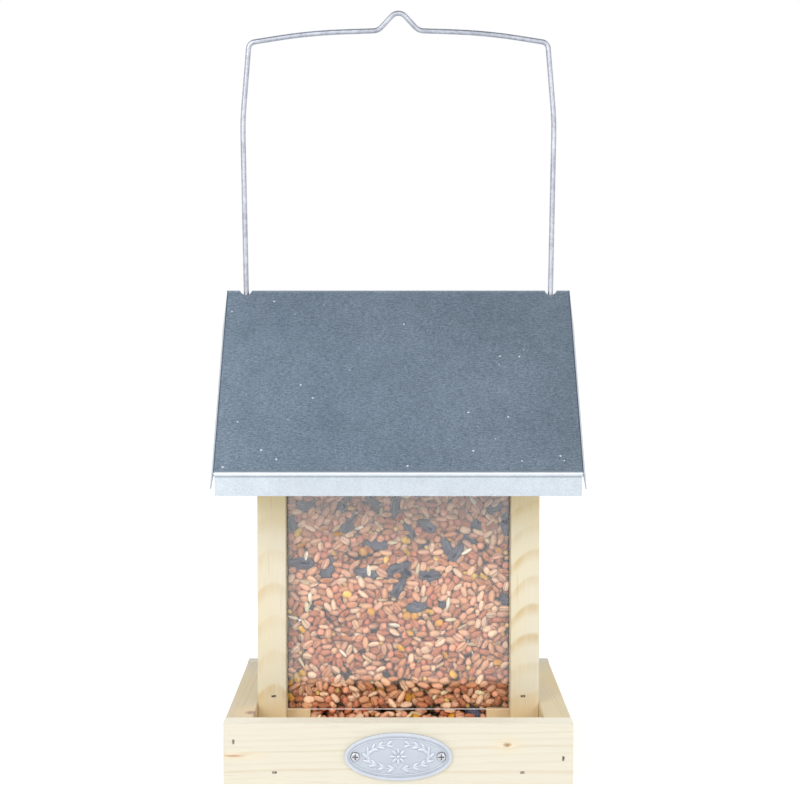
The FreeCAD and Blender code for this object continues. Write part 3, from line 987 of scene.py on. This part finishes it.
class Joinery(SubAssembly):
    """Boards that brads hold together.

    Attributes:
        brads: the nodes of the brads
    """

    brads: tuple[str, ...]

    def boards(self) -> tuple[Spruce, ...]:
        """Gives the boards."""
        raise NotImplementedError

    def dress(self) -> list[str]:
        """Puts spruce on the boards and dark steel on the brads, and gives their names."""
        boards = [self.wear(board.node, board) for board in self.boards()]
        return boards + [self.wear(node, BRAD_STEEL) for node in self.brads]


@dataclass(frozen=True)
class Tray(Joinery):
    """The open tray: a floor, four boards round it and their brads.

    Attributes:
        front_knot: the knot on the right of the front
        front_streak: the resin streak at the left end of the front
        side_knot: the knot on top of the left board
        left_shaded_early: colour of the left board's early wood, greyer and darker than the rest: painted
            shade
        brads: the nodes of the brads
    """

    front_knot: Knot = Knot((54.4, -90.0, 19.9), 1.3, 1.8, srgb(152, 112, 54))
    front_streak: Knot = Knot((-82.5, -90.0, 14.4), 0.8, 7.0, srgb(182, 138, 108))
    side_knot: Knot = Knot((-75.5, -64.5, 31.0), 3.4, 1.6, srgb(146, 82, 58), 0.8)
    # Painted shade: greyer, darker early wood for the left board.
    left_shaded_early: Colour = srgb(194, 186, 166)
    brads: tuple[str, ...] = ("tray_corner_brads", "floor_brads")

    def boards(self) -> tuple[Spruce, ...]:
        """Gives the tray's timber.

        Returns:
            The floor, then the boards round it.
        """
        return (
            Spruce("base_plate", Grain.ALONG_X, heart=(0.0, 20.0, -70.0), lean=(0.0, 0.03, 0.02),
                   tone=0.3, figure=0.5),
            # The front board's top face gets painted light.
            Spruce("tray_front_board", Grain.ALONG_X, heart=(0.0, 26.0, -34.0), lean=(0.0, 0.03, 0.06),
                   tone=0.05, figure=0.21, knots=(self.front_knot, self.front_streak), ring=2.6, wander=4.5,
                   nap=1.0, top_light=1.0),
            Spruce("tray_back_board", Grain.ALONG_X, heart=(0.0, -32.0, 30.0), lean=(0.0, 0.03, -0.05),
                   tone=0.15, figure=0.45),
            # Painted shade: the left board's early wood is greyer and darker.
            Spruce("tray_left_board", Grain.ALONG_Y, heart=(44.0, 0.0, -36.0), lean=(0.05, 0.0, 0.03),
                   tone=0.5, figure=0.9, knots=(self.side_knot,), early=self.left_shaded_early),
            Spruce("tray_right_board", Grain.ALONG_Y, heart=(-52.0, 0.0, 24.0), lean=(-0.06, 0.0, 0.03),
                   tone=0.9, figure=0.8),
        )


@dataclass(frozen=True)
class Silo(Joinery):
    """The gable walls, the posts on them and the cleats that carry the panes.

    Attributes:
        stain_and_warm_bounce: height below which posts and cleats get painted warm light bounced inside the
            tray, in mm
        eave_shade: how strongly the painted shade under the eave turns the walls golden
        brads: the nodes of the brads
    """

    # Painted warm bounce light on posts and cleats below this height.
    stain_and_warm_bounce: float = 42.0
    # Painted shade under the eave, weaker on the walls.
    eave_shade: float = 0.4
    brads: tuple[str, ...] = ("wall_brads", "batten_brads", "cleat_brads")

    def boards(self) -> tuple[Spruce, ...]:
        """Gives the silo's timber.

        Returns:
            The walls, the cleats, and the posts at the front and the rear.
        """
        return (
            Spruce("left_wall", Grain.UPRIGHT, heart=(46.0, 8.0, 0.0), lean=(0.04, 0.05, 0.0),
                   tone=0.3, figure=0.5, eave_shade=self.eave_shade),
            Spruce("right_wall", Grain.UPRIGHT, heart=(-50.0, -12.0, 0.0), lean=(-0.04, 0.05, 0.0),
                   tone=0.3, figure=0.5, eave_shade=self.eave_shade),
            Spruce("left_cleat", Grain.ALONG_Y, heart=(20.0, 0.0, 30.0), lean=(0.0, 0.0, 0.0),
                   tone=0.3, figure=0.5, stain_and_warm_bounce=self.stain_and_warm_bounce),
            Spruce("right_cleat", Grain.ALONG_Y, heart=(-22.0, 0.0, 26.0), lean=(0.0, 0.0, 0.0),
                   tone=0.3, figure=0.5, stain_and_warm_bounce=self.stain_and_warm_bounce),
            Spruce("front_left_batten", Grain.UPRIGHT, heart=(-0.5, 16.0, 0.0), lean=(0.004, 0.16, 0.0),
                   tone=0.3, figure=0.55, stain_and_warm_bounce=self.stain_and_warm_bounce, ring=2.8, wander=1.2),
            Spruce("front_right_batten", Grain.UPRIGHT, heart=(6.0, 52.0, 0.0), lean=(0.01, 0.2, 0.0),
                   tone=0.35, figure=0.65, stain_and_warm_bounce=self.stain_and_warm_bounce, ring=2.8, wander=2.4),
            Spruce("rear_left_batten", Grain.UPRIGHT, heart=(3.0, -24.0, 0.0), lean=(0.03, -0.08, 0.0),
                   tone=0.3, figure=0.5, stain_and_warm_bounce=self.stain_and_warm_bounce),
            Spruce("rear_right_batten", Grain.UPRIGHT, heart=(8.0, -20.0, 0.0), lean=(-0.06, -0.05, 0.0),
                   tone=0.35, figure=0.5, stain_and_warm_bounce=self.stain_and_warm_bounce),
        )


@dataclass(frozen=True)
class Panes(SubAssembly):
    """The two clear panes of the silo.

    Attributes:
        nodes: the panes
    """

    nodes: tuple[str, ...] = ("front_pane", "rear_pane")

    def dress(self) -> list[str]:
        """Puts clear acrylic on the panes, and gives their names."""
        return [self.wear(node, ClearAcrylic()) for node in self.nodes]


@dataclass(frozen=True)
class Roof(SubAssembly):
    """The folded zinc roof.

    Attributes:
        fascia: height of the upright strip under each eave fold
        splay: how far the gable strips stand out of their folds
    """

    body = "roof"
    fascia: float = 11.5 * MM
    splay: float = 2.43 * MM

    def dress(self) -> list[str]:
        """Puts rolled zinc on the sheet.

        Returns:
            Its name.
        """
        low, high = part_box("roof")
        zinc = ZincSheet("rolled_zinc", high.z, low.z + self.fascia, high.y, high.x - self.splay)
        return [self.wear("roof", zinc)]


@dataclass(frozen=True)
class Bail(SubAssembly):
    """The wire that the feeder hangs by."""

    body = "bail"

    def dress(self) -> list[str]:
        """Puts a zinc coat on the wire, and gives its name."""
        return [self.wear("bail", GalvanisedWire())]


@dataclass(frozen=True)
class NamePlate(SubAssembly):
    """The oval plate on the tray's front, with a plain ornament pressed in it.

    Attributes:
        rim: how far the rim stands out of the field
        rim_width: the rim's width
        cord: half length, half width and half height of a strand of the corded border
        cord_gap: from the rim to the border
        cord_strands: how many strands go round
        petals: petals of the flower in the middle
        petal: half length, half width and half height of a petal
        boss: the same of the flower's middle
        petal_root: where the petals start, in half lengths of the boss
        wreath: half length and half height of the wreath
        sweep: where each branch of the wreath starts and ends, in degrees from level
        stem: half length, half width and half height of a strand of a branch's stem
        stem_strands: how many strands a stem has
        leaf: half length, half width and half height of a leaf
        leaf_pairs: pairs of leaves on a branch
        leaf_splay: how far a leaf turns out of its stem, in radians
        leaf_root: from the stem to a leaf's middle, in half lengths of the leaf
        samples: points that an oval is measured at
        rings: rings of points in each mark
        sides: points round each ring
        plating: colour of the screws
        tarnish: colour of the screws where they are stained
        tarnished: how much of them is stained
        recess: depth of the cross recess in the screws
    """

    rim: float = 0.6 * MM
    rim_width: float = 1.4 * MM
    cord: Triple = (1.2 * MM, 0.52 * MM, 0.58 * MM)
    cord_gap: float = 0.8 * MM
    cord_strands: int = 84
    petals: int = 8
    petal: Triple = (2.0 * MM, 1.0 * MM, 0.52 * MM)
    boss: Triple = (1.1 * MM, 1.1 * MM, 0.58 * MM)
    petal_root: float = 0.7
    wreath: Pair = (15.6 * MM, 6.3 * MM)
    sweep: Pair = (-82.0, 68.0)
    stem: Triple = (1.3 * MM, 0.5 * MM, 0.5 * MM)
    stem_strands: int = 24
    leaf: Triple = (2.3 * MM, 1.0 * MM, 0.55 * MM)
    leaf_pairs: int = 9
    leaf_splay: float = 0.5
    leaf_root: float = 0.8
    samples: int = 721
    rings: int = 7
    sides: int = 10
    plating: Colour = srgb(206, 207, 212)
    tarnish: Colour = srgb(140, 138, 138)
    tarnished: float = 0.25
    recess: float = 0.7 * MM

    def _zinc(self) -> PressedZinc:
        """Gives the finish that the plate and its ornament share."""
        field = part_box("name_plate")[0].y + self.rim
        return PressedZinc("pressed_zinc_plate", field, self.rim)

    def build(self) -> list[bpy.types.Object]:
        """Makes the corded border, the flower and the wreath.

        Returns:
            The ornament.
        """
        low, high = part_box("name_plate")
        middle = (low + high) / 2
        inset = self.rim_width + self.cord_gap + self.cord[1]
        border = ((high.x - low.x) / 2 - inset, (high.z - low.z) / 2 - inset)
        marks = self._strands(border, (0.0, 360.0), self.cord_strands, self.cord)
        marks += self._flower() + self._branch(-1) + self._branch(1)
        x, z, turn = np.array([mark[:3] for mark in marks]).T
        halves = np.array([mark[3] for mark in marks])
        none = np.zeros(len(marks))
        middles = np.column_stack((middle.x + x, none + low.y + self.rim, middle.z + z))
        along = np.column_stack((np.cos(turn), none, np.sin(turn)))
        across = np.column_stack((-np.sin(turn), none, np.cos(turn)))
        outward = np.tile(FRONT, (len(marks), 1))
        axes = np.stack((along, across, outward), axis=2)
        pattern = Pattern.make(Form.LEAF, self.rings, self.sides)
        copies = Copies(pattern, middles, axes, halves, np.ones((len(marks), 3)))
        return [self.mount(copies.piece("plate_ornament"), self._zinc(), "pressed_zinc")]

    def _strands(self, oval: Pair, sweep: Pair, count: int, size: Triple) -> list[Mark]:
        """Lists strands that are evenly spaced along a stretch of an oval.

        Args:
            oval: its half length and half height
            sweep: where the stretch starts and ends, in degrees
            count: how many strands there are
            size: half length, half width and half height of a strand

        Returns:
            The strands.
        """
        wide, tall = oval
        turns = np.radians(np.linspace(*sweep, self.samples))
        x, z = wide * np.cos(turns), tall * np.sin(turns)
        run = np.concatenate(((0.0,), np.cumsum(np.hypot(np.diff(x), np.diff(z)))))
        marks = []
        for number in range(count):
            turn = np.interp(run[-1] * number / count, run, turns)
            along = math.atan2(tall * math.cos(turn), -wide * math.sin(turn))
            marks.append((wide * math.cos(turn), tall * math.sin(turn), along, size))
        return marks

    def _flower(self) -> list[Mark]:
        """Lists the boss and the petals of the flower.

        Returns:
            Its marks.
        """
        reach = self.petal[0] + self.petal_root * self.boss[0]
        marks = [(0.0, 0.0, 0.0, self.boss)]
        for number in range(self.petals):
            turn = 2 * math.pi * number / self.petals
            marks.append((reach * math.cos(turn), reach * math.sin(turn), turn, self.petal))
        return marks

    def _branch(self, hand: int) -> list[Mark]:
        """Lists the stem and the leaves on one side of the wreath.

        Args:
            hand: -1 for the left side, 1 for the right side

        Returns:
            The stem's strands, then the leaves in pairs.
        """
        wide, tall = self.wreath
        reach = self.leaf_root * self.leaf[0]
        marks = self._strands(self.wreath, self.sweep, self.stem_strands, self.stem)
        for turn in np.radians(np.linspace(*self.sweep, self.leaf_pairs)):
            along = math.atan2(tall * math.cos(turn), -wide * math.sin(turn))
            for lean in (along - self.leaf_splay, along + self.leaf_splay):
                x = wide * math.cos(turn) + reach * math.cos(lean)
                z = tall * math.sin(turn) + reach * math.sin(lean)
                marks.append((x, z, lean, self.leaf))
        return [(hand * x, z, turn if hand > 0 else math.pi - turn, size) for x, z, turn, size in marks]

    def dress(self) -> list[str]:
        """Puts pressed zinc on the plate and bright steel on the screws.

        Returns:
            Their names.
        """
        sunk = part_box("name_plate_screws")[0].y + self.recess / 2
        steel = Steel("screw_steel", self.plating, self.tarnish, self.tarnished, sunk)
        return [self.wear("name_plate", self._zinc()), self.wear("name_plate_screws", steel)]


@dataclass(frozen=True)
class Seed:
    """A kind of seed in the mix.

    Attributes:
        name: its plain name
        form: its shape
        size: its length, width and thickness, in mm
        share: how many seeds are of this kind, against the other kinds' shares
        tints: its colours
        coat: its skin
        lowest: the share of the silo's height below which there are none
        flat: whether it lies flat on the pane
    """

    name: str
    form: Form
    size: Triple
    share: float
    tints: tuple[Colour, ...]
    coat: SeedCoat
    lowest: float = 0.0
    flat: bool = False


@dataclass(frozen=True)
class Room:
    """A space that seeds fill, in mm.

    Attributes:
        name: its name
        low: its lowest corner
        high: its highest corner
        lid: the height of the seed's surface at a place
    """

    name: str
    low: Triple
    high: Triple
    lid: Callable[[np.ndarray, np.ndarray], np.ndarray]

    def hold(self, balls: np.ndarray, radii: np.ndarray) -> np.ndarray:
        """Brings balls back inside.

        Args:
            balls: the balls' middles
            radii: how far each stays from the walls

        Returns:
            The middles, inside the room.
        """
        room = radii[:, None]
        held = np.clip(balls, np.array(self.low) + room, np.array(self.high) - room)
        top = self.lid(held[:, 0], held[:, 1]) - radii
        held[:, 2] = np.maximum(np.minimum(held[:, 2], top), self.low[2] + radii)
        return held


class Packing:
    """Seeds in a room, each a stiff chain of three balls that the others push aside.

    Attributes:
        trials: points that are tried in the room, to measure it and to place the seeds
        vary: how far a seed's sizes stray from its kind's
        extremes: the least and the most that they come to
        shallow: the least depth that the seeds are scattered over, in mm
        lying: how far the seeds point each way before they settle
        girth: radius of a seed's middle ball, over its own mean half width
        stub: the least that a seed's length leaves room for past that ball, in mm
        tightness: distance of its end balls, over what its length leaves room for
        taper: radius of its end balls, over that of the middle one
        flat_roll: how far a seed that lies flat rolls, over the others' roll
        rounds: how often the neighbours are found anew
        steps: pushes between two such searches
        sight: how far neighbours are looked for, in largest radii
        give: the share of an overlap that one push takes away on each side
    """

    trials = 16000
    vary = 0.09
    extremes = (0.78, 1.22)
    shallow = 1.0
    lying = (1.0, 0.25, 0.4)
    girth = 0.98
    stub = 0.05
    tightness = 0.96
    taper = 0.86
    flat_roll = 0.12
    rounds = 8
    steps = 14
    sight = 2.1
    give = 0.42

    def __init__(self, room: Room, seeds: Sequence[Seed], fill: float, random: np.random.Generator) -> None:
        """Scatters the seeds.

        Args:
            room: the space that they fill
            seeds: the kinds
            fill: the share of the space that is seed
            random: the source of chance
        """
        self.room = room
        self.random = random
        shares = np.array([seed.share for seed in seeds])
        sizes = np.array([seed.size for seed in seeds])
        low, high = np.array(room.low), np.array(room.high)
        trial = random.uniform(low, high, (self.trials, 3))
        inside = trial[trial[:, 2] < room.lid(trial[:, 0], trial[:, 1])]
        space = np.prod(high - low) * len(inside) / self.trials
        chance = shares / shares.sum()
        volume = math.pi / 6 * np.prod(sizes, axis=1) @ chance
        count = min(int(fill * space / volume), len(inside))
        self.kinds = random.choice(len(seeds), count, p=chance)
        self.sizes = sizes[self.kinds] * random.normal(1.0, self.vary, (count, 3)).clip(*self.extremes)
        self.middles = inside[:count].copy()
        lowest = np.array([seed.lowest for seed in seeds])[self.kinds]
        climb = lowest + (1 - lowest) * random.uniform(0, 1, count)
        depth = room.lid(self.middles[:, 0], self.middles[:, 1]) - low[2]
        self.middles[:, 2] = low[2] + climb * np.maximum(depth, self.shallow)
        self.axes = random.normal(0, 1, (count, 3)) * self.lying
        self.axes /= np.linalg.norm(self.axes, axis=1)[:, None]
        self.radius = (self.sizes[:, 1] + self.sizes[:, 2]) / 4 * self.girth
        self.reach = np.maximum(self.sizes[:, 0] / 2 - self.radius, self.stub) * self.tightness
        self.wall = self.sizes[:, 2] / 2

    def _balls(self) -> np.ndarray:
        """Gives the middles of every seed's three balls, seed after seed."""
        steps = np.array((-1.0, 0.0, 1.0))[None, :, None] * self.reach[:, None, None]
        return (self.middles[:, None] + steps * self.axes[:, None]).reshape(-1, 3)

    @staticmethod
    def _neighbours(balls: np.ndarray, reach: float) -> np.ndarray:
        """Lists the pairs of balls of different seeds that are near each other.

        Args:
            balls: the balls' middles
            reach: how near counts

        Returns:
            The pairs, a row each.
        """
        tree = KDTree(len(balls))
        for number, ball in enumerate(balls):
            tree.insert(ball, number)
        tree.balance()
        pairs = [(number, other) for number, ball in enumerate(balls)
                 for _, other, _ in tree.find_range(ball, reach) if other // 3 > number // 3]
        return np.array(pairs)

    def settle(self) -> None:
        """Pushes overlapping seeds apart."""
        profile = np.tile((self.taper, 1.0, self.taper), len(self.radius))
        radii = np.repeat(self.radius, 3) * profile
        walls = np.repeat(self.wall, 3) * profile
        for _ in range(self.rounds):
            balls = self._balls()
            first, second = self._neighbours(balls, self.sight * radii.max()).T
            touch = radii[first] + radii[second]
            for _ in range(self.steps):
                apart = balls[second] - balls[first]
                distance = np.linalg.norm(apart, axis=1) + 1e-6
                push = apart * (np.maximum(touch - distance, 0) * self.give / distance)[:, None]
                np.add.at(balls, second, push)
                np.add.at(balls, first, -push)
                chain = self.room.hold(balls, walls).reshape(-1, 3, 3)
                self.middles = chain.mean(axis=1)
                self.axes = chain[:, 2] - chain[:, 0]
                self.axes /= np.linalg.norm(self.axes, axis=1)[:, None] + 1e-9
                balls = self._balls()

    def turns(self, flat: np.ndarray) -> np.ndarray:
        """Gives each seed's axes: along it, across it and through it.

        Args:
            flat: which seeds keep their thin way towards the pane

        Returns:
            A matrix for each seed, with those axes as its columns.
        """
        towards = np.tile(BACK, (len(self.axes), 1))
        across = np.cross(towards, self.axes)
        across /= np.linalg.norm(across, axis=1)[:, None] + 1e-9
        through = np.cross(self.axes, across)
        roll = self.random.uniform(-math.pi, math.pi, len(self.axes))
        roll = np.where(flat, self.flat_roll * roll, roll)[:, None]
        sideways = across * np.cos(roll) + through * np.sin(roll)
        return np.stack((self.axes, sideways, np.cross(self.axes, sideways)), axis=2)


@dataclass(frozen=True)
class SeedFill(SubAssembly):
    """The seed: a layer against each pane, the top of the heap, and what has run out into the tray.

    Attributes:
        layer: how deep the seed against a pane is modelled, in mm
        level: height of the heap's top, in mm
        swell: how far the top rises and falls, in mm
        mouth: how high the seed stands in the outlets, in mm
        join: how far higher it stands behind the panes, where it joins the layer above, in mm
        join_inset: how far behind a pane that starts, in mm
        lip: from a pane's inner face to where the seed in the outlet starts to slope, in mm
        repose: slope of the seed that has run out
        spread: how far it has run out past a pane, in mm
        thin: the least depth of what has run out, in mm
        gap: what is kept from wood and panes, in mm
        fill: the share of a room that is seed
        rings: rings of points in each seed
        sides: points round each ring
        vary: how far a seed's colour strays from its kind's
        extremes: the least and the most that it comes to
        chance: the seed of the random draws
    """

    layer: float = 9.0
    level: float = 190.0
    swell: float = 3.0
    mouth: float = 11.2
    join: float = 4.9
    join_inset: float = 3.0
    lip: float = 1.0
    repose: float = math.tan(math.radians(27))
    spread: float = 30.0
    thin: float = 0.5
    gap: float = 0.1
    fill: float = 0.6
    rings: int = 6
    sides: int = 7
    vary: float = 0.09
    extremes: Pair = (0.75, 1.25)
    chance: int = 20

    @staticmethod
    def seeds() -> tuple[Seed, ...]:
        """Lists the mix.

        Returns:
            The kinds of seed in it.
        """
        wheat = (srgb(230, 178, 138), srgb(218, 158, 116), srgb(240, 200, 164), srgb(202, 134, 90),
                 srgb(226, 168, 132), srgb(186, 112, 74))
        milo = (srgb(220, 142, 106), srgb(228, 158, 122), srgb(204, 120, 86))
        husk = (srgb(58, 62, 80), srgb(68, 71, 90), srgb(50, 54, 72))
        maize = (srgb(232, 176, 58), srgb(220, 154, 44), srgb(238, 194, 92))
        pale = (srgb(226, 208, 168), srgb(236, 226, 200), srgb(210, 184, 140))
        millet = (srgb(224, 188, 106), srgb(206, 158, 78), srgb(196, 132, 72))
        return (
            Seed("wheat", Form.GRAIN, size=(6.1, 3.7, 3.2), share=70.0, tints=wheat,
                 coat=SeedCoat("wheat_coat", crease=0.65, tip=0.35, gloss=0.3)),
            Seed("milo", Form.BALL, size=(4.1, 3.9, 3.7), share=11.0, tints=milo,
                 coat=SeedCoat("milo_coat", tip=0.7, gloss=0.45)),
            Seed("sunflower", Form.HUSK, size=(13.6, 6.8, 4.0), share=2.4, tints=husk,
                 coat=SeedCoat("sunflower_husk", stripe=0.3, tip=0.0, gloss=0.3), lowest=0.3, flat=True),
            Seed("maize", Form.CHIP, size=(5.2, 4.4, 2.9), share=3.0, tints=maize,
                 coat=SeedCoat("maize_coat", tip=0.2, gloss=0.5)),
            Seed("pale_grain", Form.GRAIN, size=(5.9, 2.3, 2.0), share=5.5, tints=pale,
                 coat=SeedCoat("pale_coat", crease=0.4, tip=0.2, gloss=0.4)),
            Seed("millet", Form.BALL, size=(2.6, 2.5, 2.3), share=7.0, tints=millet,
                 coat=SeedCoat("millet_coat", tip=0.4, gloss=0.5)),
        )

    def rooms(self) -> tuple[Room, ...]:
        """Works out the spaces that seed fills, from the pieces round them.

        Returns:
            The layers behind the panes, the top of the heap, and the outlets.
        """
        pane_low, pane_high = (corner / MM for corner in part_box("front_pane"))
        wall_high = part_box("left_wall")[1] / MM
        cleat_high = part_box("left_cleat")[1] / MM
        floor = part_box("base_plate")[1].z / MM + self.gap
        inside = -wall_high.x - self.gap
        outlet = -cleat_high.x - self.gap
        glass = -pane_high.y - self.gap
        back = glass - self.layer
        foot = pane_low.z + self.gap
        joint = foot + self.join
        crest = self.level + self.swell
        edge = -pane_low.y + self.spread

        def heap(x: np.ndarray, y: np.ndarray) -> np.ndarray:
            """Gives the height of the heap's top at a place."""
            return self.level + self.swell * np.sin(x / 17 + 1.0) * np.cos(y / 14 - 0.4)

        def slope(x: np.ndarray, y: np.ndarray) -> np.ndarray:
            """Gives the height of the seed in an outlet and in front of it.

            Args:
                x: places across the outlet
                y: places along it

            Returns:
                The height at each place.
            """
            ripple = 1.3 * np.sin(x / 9.0 + 2.0) + 0.8 * np.sin(x / 4.1)
            run = np.maximum(np.abs(y) - glass - self.lip, 0)
            joined = self.join * (np.abs(y) < glass - self.join_inset)
            return floor + np.maximum(self.mouth + ripple + joined - run * self.repose, self.thin)

        return (
            Room("front", (-inside, -glass, foot), (inside, -back, crest), heap),
            Room("rear", (-inside, back, foot), (inside, glass, crest), heap),
            Room("top", (-inside, -back, self.level - self.layer), (inside, back, crest), heap),
            Room("front_outlet", (-outlet, -edge, floor), (outlet, -back, joint), slope),
            Room("rear_outlet", (-outlet, back, floor), (outlet, edge, joint), slope),
        )

    def build(self) -> list[bpy.types.Object]:
        """Settles the seed in each room and makes a piece of each kind there.

        Returns:
            The pieces.
        """
        random = np.random.default_rng(self.chance)
        seeds = self.seeds()
        patterns = [Pattern.make(seed.form, self.rings, self.sides) for seed in seeds]
        pieces = []
        for room in self.rooms():
            packing = Packing(room, seeds, self.fill, random)
            packing.settle()
            flat = np.array([seed.flat for seed in seeds])[packing.kinds]
            turns = packing.turns(flat)
            for number, seed in enumerate(seeds):
                which = np.flatnonzero(packing.kinds == number)
                if not len(which):
                    continue
                tints = np.array(seed.tints)[random.integers(0, len(seed.tints), len(which))]
                tints = tints * random.normal(1.0, self.vary, (len(which), 1)).clip(*self.extremes)
                copies = Copies(patterns[number], packing.middles[which] * MM, turns[which],
                                packing.sizes[which] * MM / 2, tints)
                piece = copies.piece(f"seed_{room.name}_{seed.name}")
                pieces.append(self.mount(piece, seed.coat, "spruce"))
        return pieces


@dataclass(frozen=True)
class Pale(Finish):
    """The plain pale studio floor, matt and glowing a little.

    Attributes:
        name: the material's name
        tone: its colour
        glow: how bright it glows
    """

    name: str = "studio_floor"
    tone: Colour = (0.8, 0.8, 0.8)
    glow: float = 0.4

    def surface(self, graph: Graph) -> Signal:
        """Adds the matt shader and gives it."""
        inputs = {"Base Color": self.tone, "Roughness": 0.9, "Specular IOR Level": 0.0,
                  "Emission Color": WHITE, "Emission Strength": self.glow}
        return graph.node("BsdfPrincipled", {}, inputs)


@dataclass(frozen=True)
class Lamp:
    """A square soft lamp that points at the feeder.

    Attributes:
        name: its name
        place: where it hangs
        power: its power, in watts
        side: the length of its side
    """

    name: str
    place: Triple
    power: float
    side: float = 0.9

    def hang(self) -> None:
        """Makes the lamp and turns it to the middle of the feeder."""
        data = bpy.data.lights.new(self.name, "AREA")
        data.size = self.side
        data.energy = self.power
        lamp = placed(self.name, data)
        lamp.location = self.place
        aim = (CAD_BOX[0] + CAD_BOX[1]) / 2 - Vector(self.place)
        lamp.rotation_euler = aim.to_track_quat("-Z", "Y").to_euler()


@dataclass(frozen=True)
class Studio:
    """The pale floor, the soft light and the camera.

    Attributes:
        floor_half: half the floor's side
        floor_drop: how far the floor lies under the tray
        horizon: light from low down all round
        behind: the same from the back
        zenith_left: light from above, on the left
        zenith_right: light from above, on the right
        lamps: the lamps in front
        sensor: the camera's sensor width, in mm
        lens: its focal length, in mm
        eye: where it stands
        dip: how far it looks down, in degrees
        shift: the frame's shift, in frame widths
    """

    floor_half: float = 9.0
    floor_drop: float = 0.2 * MM
    horizon: Colour = (1.05, 1.06, 1.08)
    behind: Colour = (1.0, 1.01, 1.03)
    zenith_left: Colour = (0.29, 0.378, 0.475)
    zenith_right: Colour = (0.13, 0.172, 0.218)
    lamps: tuple[Lamp, ...] = (Lamp("key", (-0.8, -1.6, 0.88), 10.3), Lamp("fill", (0.9, -1.6, 0.88), 6.4))
    sensor: float = 36.0
    lens: float = 92.16
    eye: Triple = (0.0004, -1.1033, 0.2479)
    dip: float = 2.894
    shift: Pair = (0.0011, -0.0103)

    def build(self) -> None:
        """Makes the floor, the light and the camera."""
        self._floor()
        self._sky()
        for lamp in self.lamps:
            lamp.hang()
        self._camera()
        bpy.context.scene.view_settings.view_transform = "Standard"

    def _floor(self) -> None:
        """Lays the floor just under the tray."""
        half = self.floor_half
        corners = [(-half, -half, 0.0), (half, -half, 0.0), (half, half, 0.0), (-half, half, 0.0)]
        mesh = bpy.data.meshes.new("studio_floor")
        mesh.from_pydata(corners, [], [(0, 1, 2, 3)])
        mesh.materials.append(Pale().material())
        floor = placed("studio_floor", mesh)
        floor.location.z = -self.floor_drop

    def _sky(self) -> None:
        """Sets a soft sky, bright low down and dim above, and white where the camera sees it."""
        world = bpy.data.worlds.new("studio")
        world.use_nodes = True
        bpy.context.scene.world = world
        graph = Graph(world.node_tree)
        direction = graph.node("TexCoord", output="Generated")
        low = direction.dot(FRONT).rise(-0.7, 0.7).pick(self.behind, self.horizon)
        high = direction.dot(RIGHT).rise(-0.25, 0.25).pick(self.zenith_left, self.zenith_right)
        sky = direction.dot(UP).rise(0.76, 0.97).pick(low, high)
        seen = graph.node("LightPath", output="Is Camera Ray")
        graph.close(graph.node("Background", {}, {"Color": seen.pick(sky, WHITE)}))

    def _camera(self) -> None:
        """Sets up the camera where the photograph was taken from."""
        data = bpy.data.cameras.new("camera")
        data.sensor_width = self.sensor
        data.lens = self.lens
        data.shift_x, data.shift_y = self.shift
        camera = placed("camera", data)
        camera.location = self.eye
        camera.rotation_euler = (math.radians(90 - self.dip), 0.0, 0.0)
        bpy.context.scene.camera = camera


def main() -> None:
    """Builds and dresses the sub-assemblies in order, then the studio."""
    logging.basicConfig(level=logging.INFO, format="%(name)s: %(message)s")
    for part in (Tray(), Silo(), Panes(), Roof(), Bail(), NamePlate(), SeedFill()):
        for piece in part.build():
            LOG.info("built %s, %d faces", piece.name, len(piece.data.polygons))
        for name in part.dress():
            LOG.info("dressed %s", name)
    Studio().build()


if __name__ == "__main__":
    main()
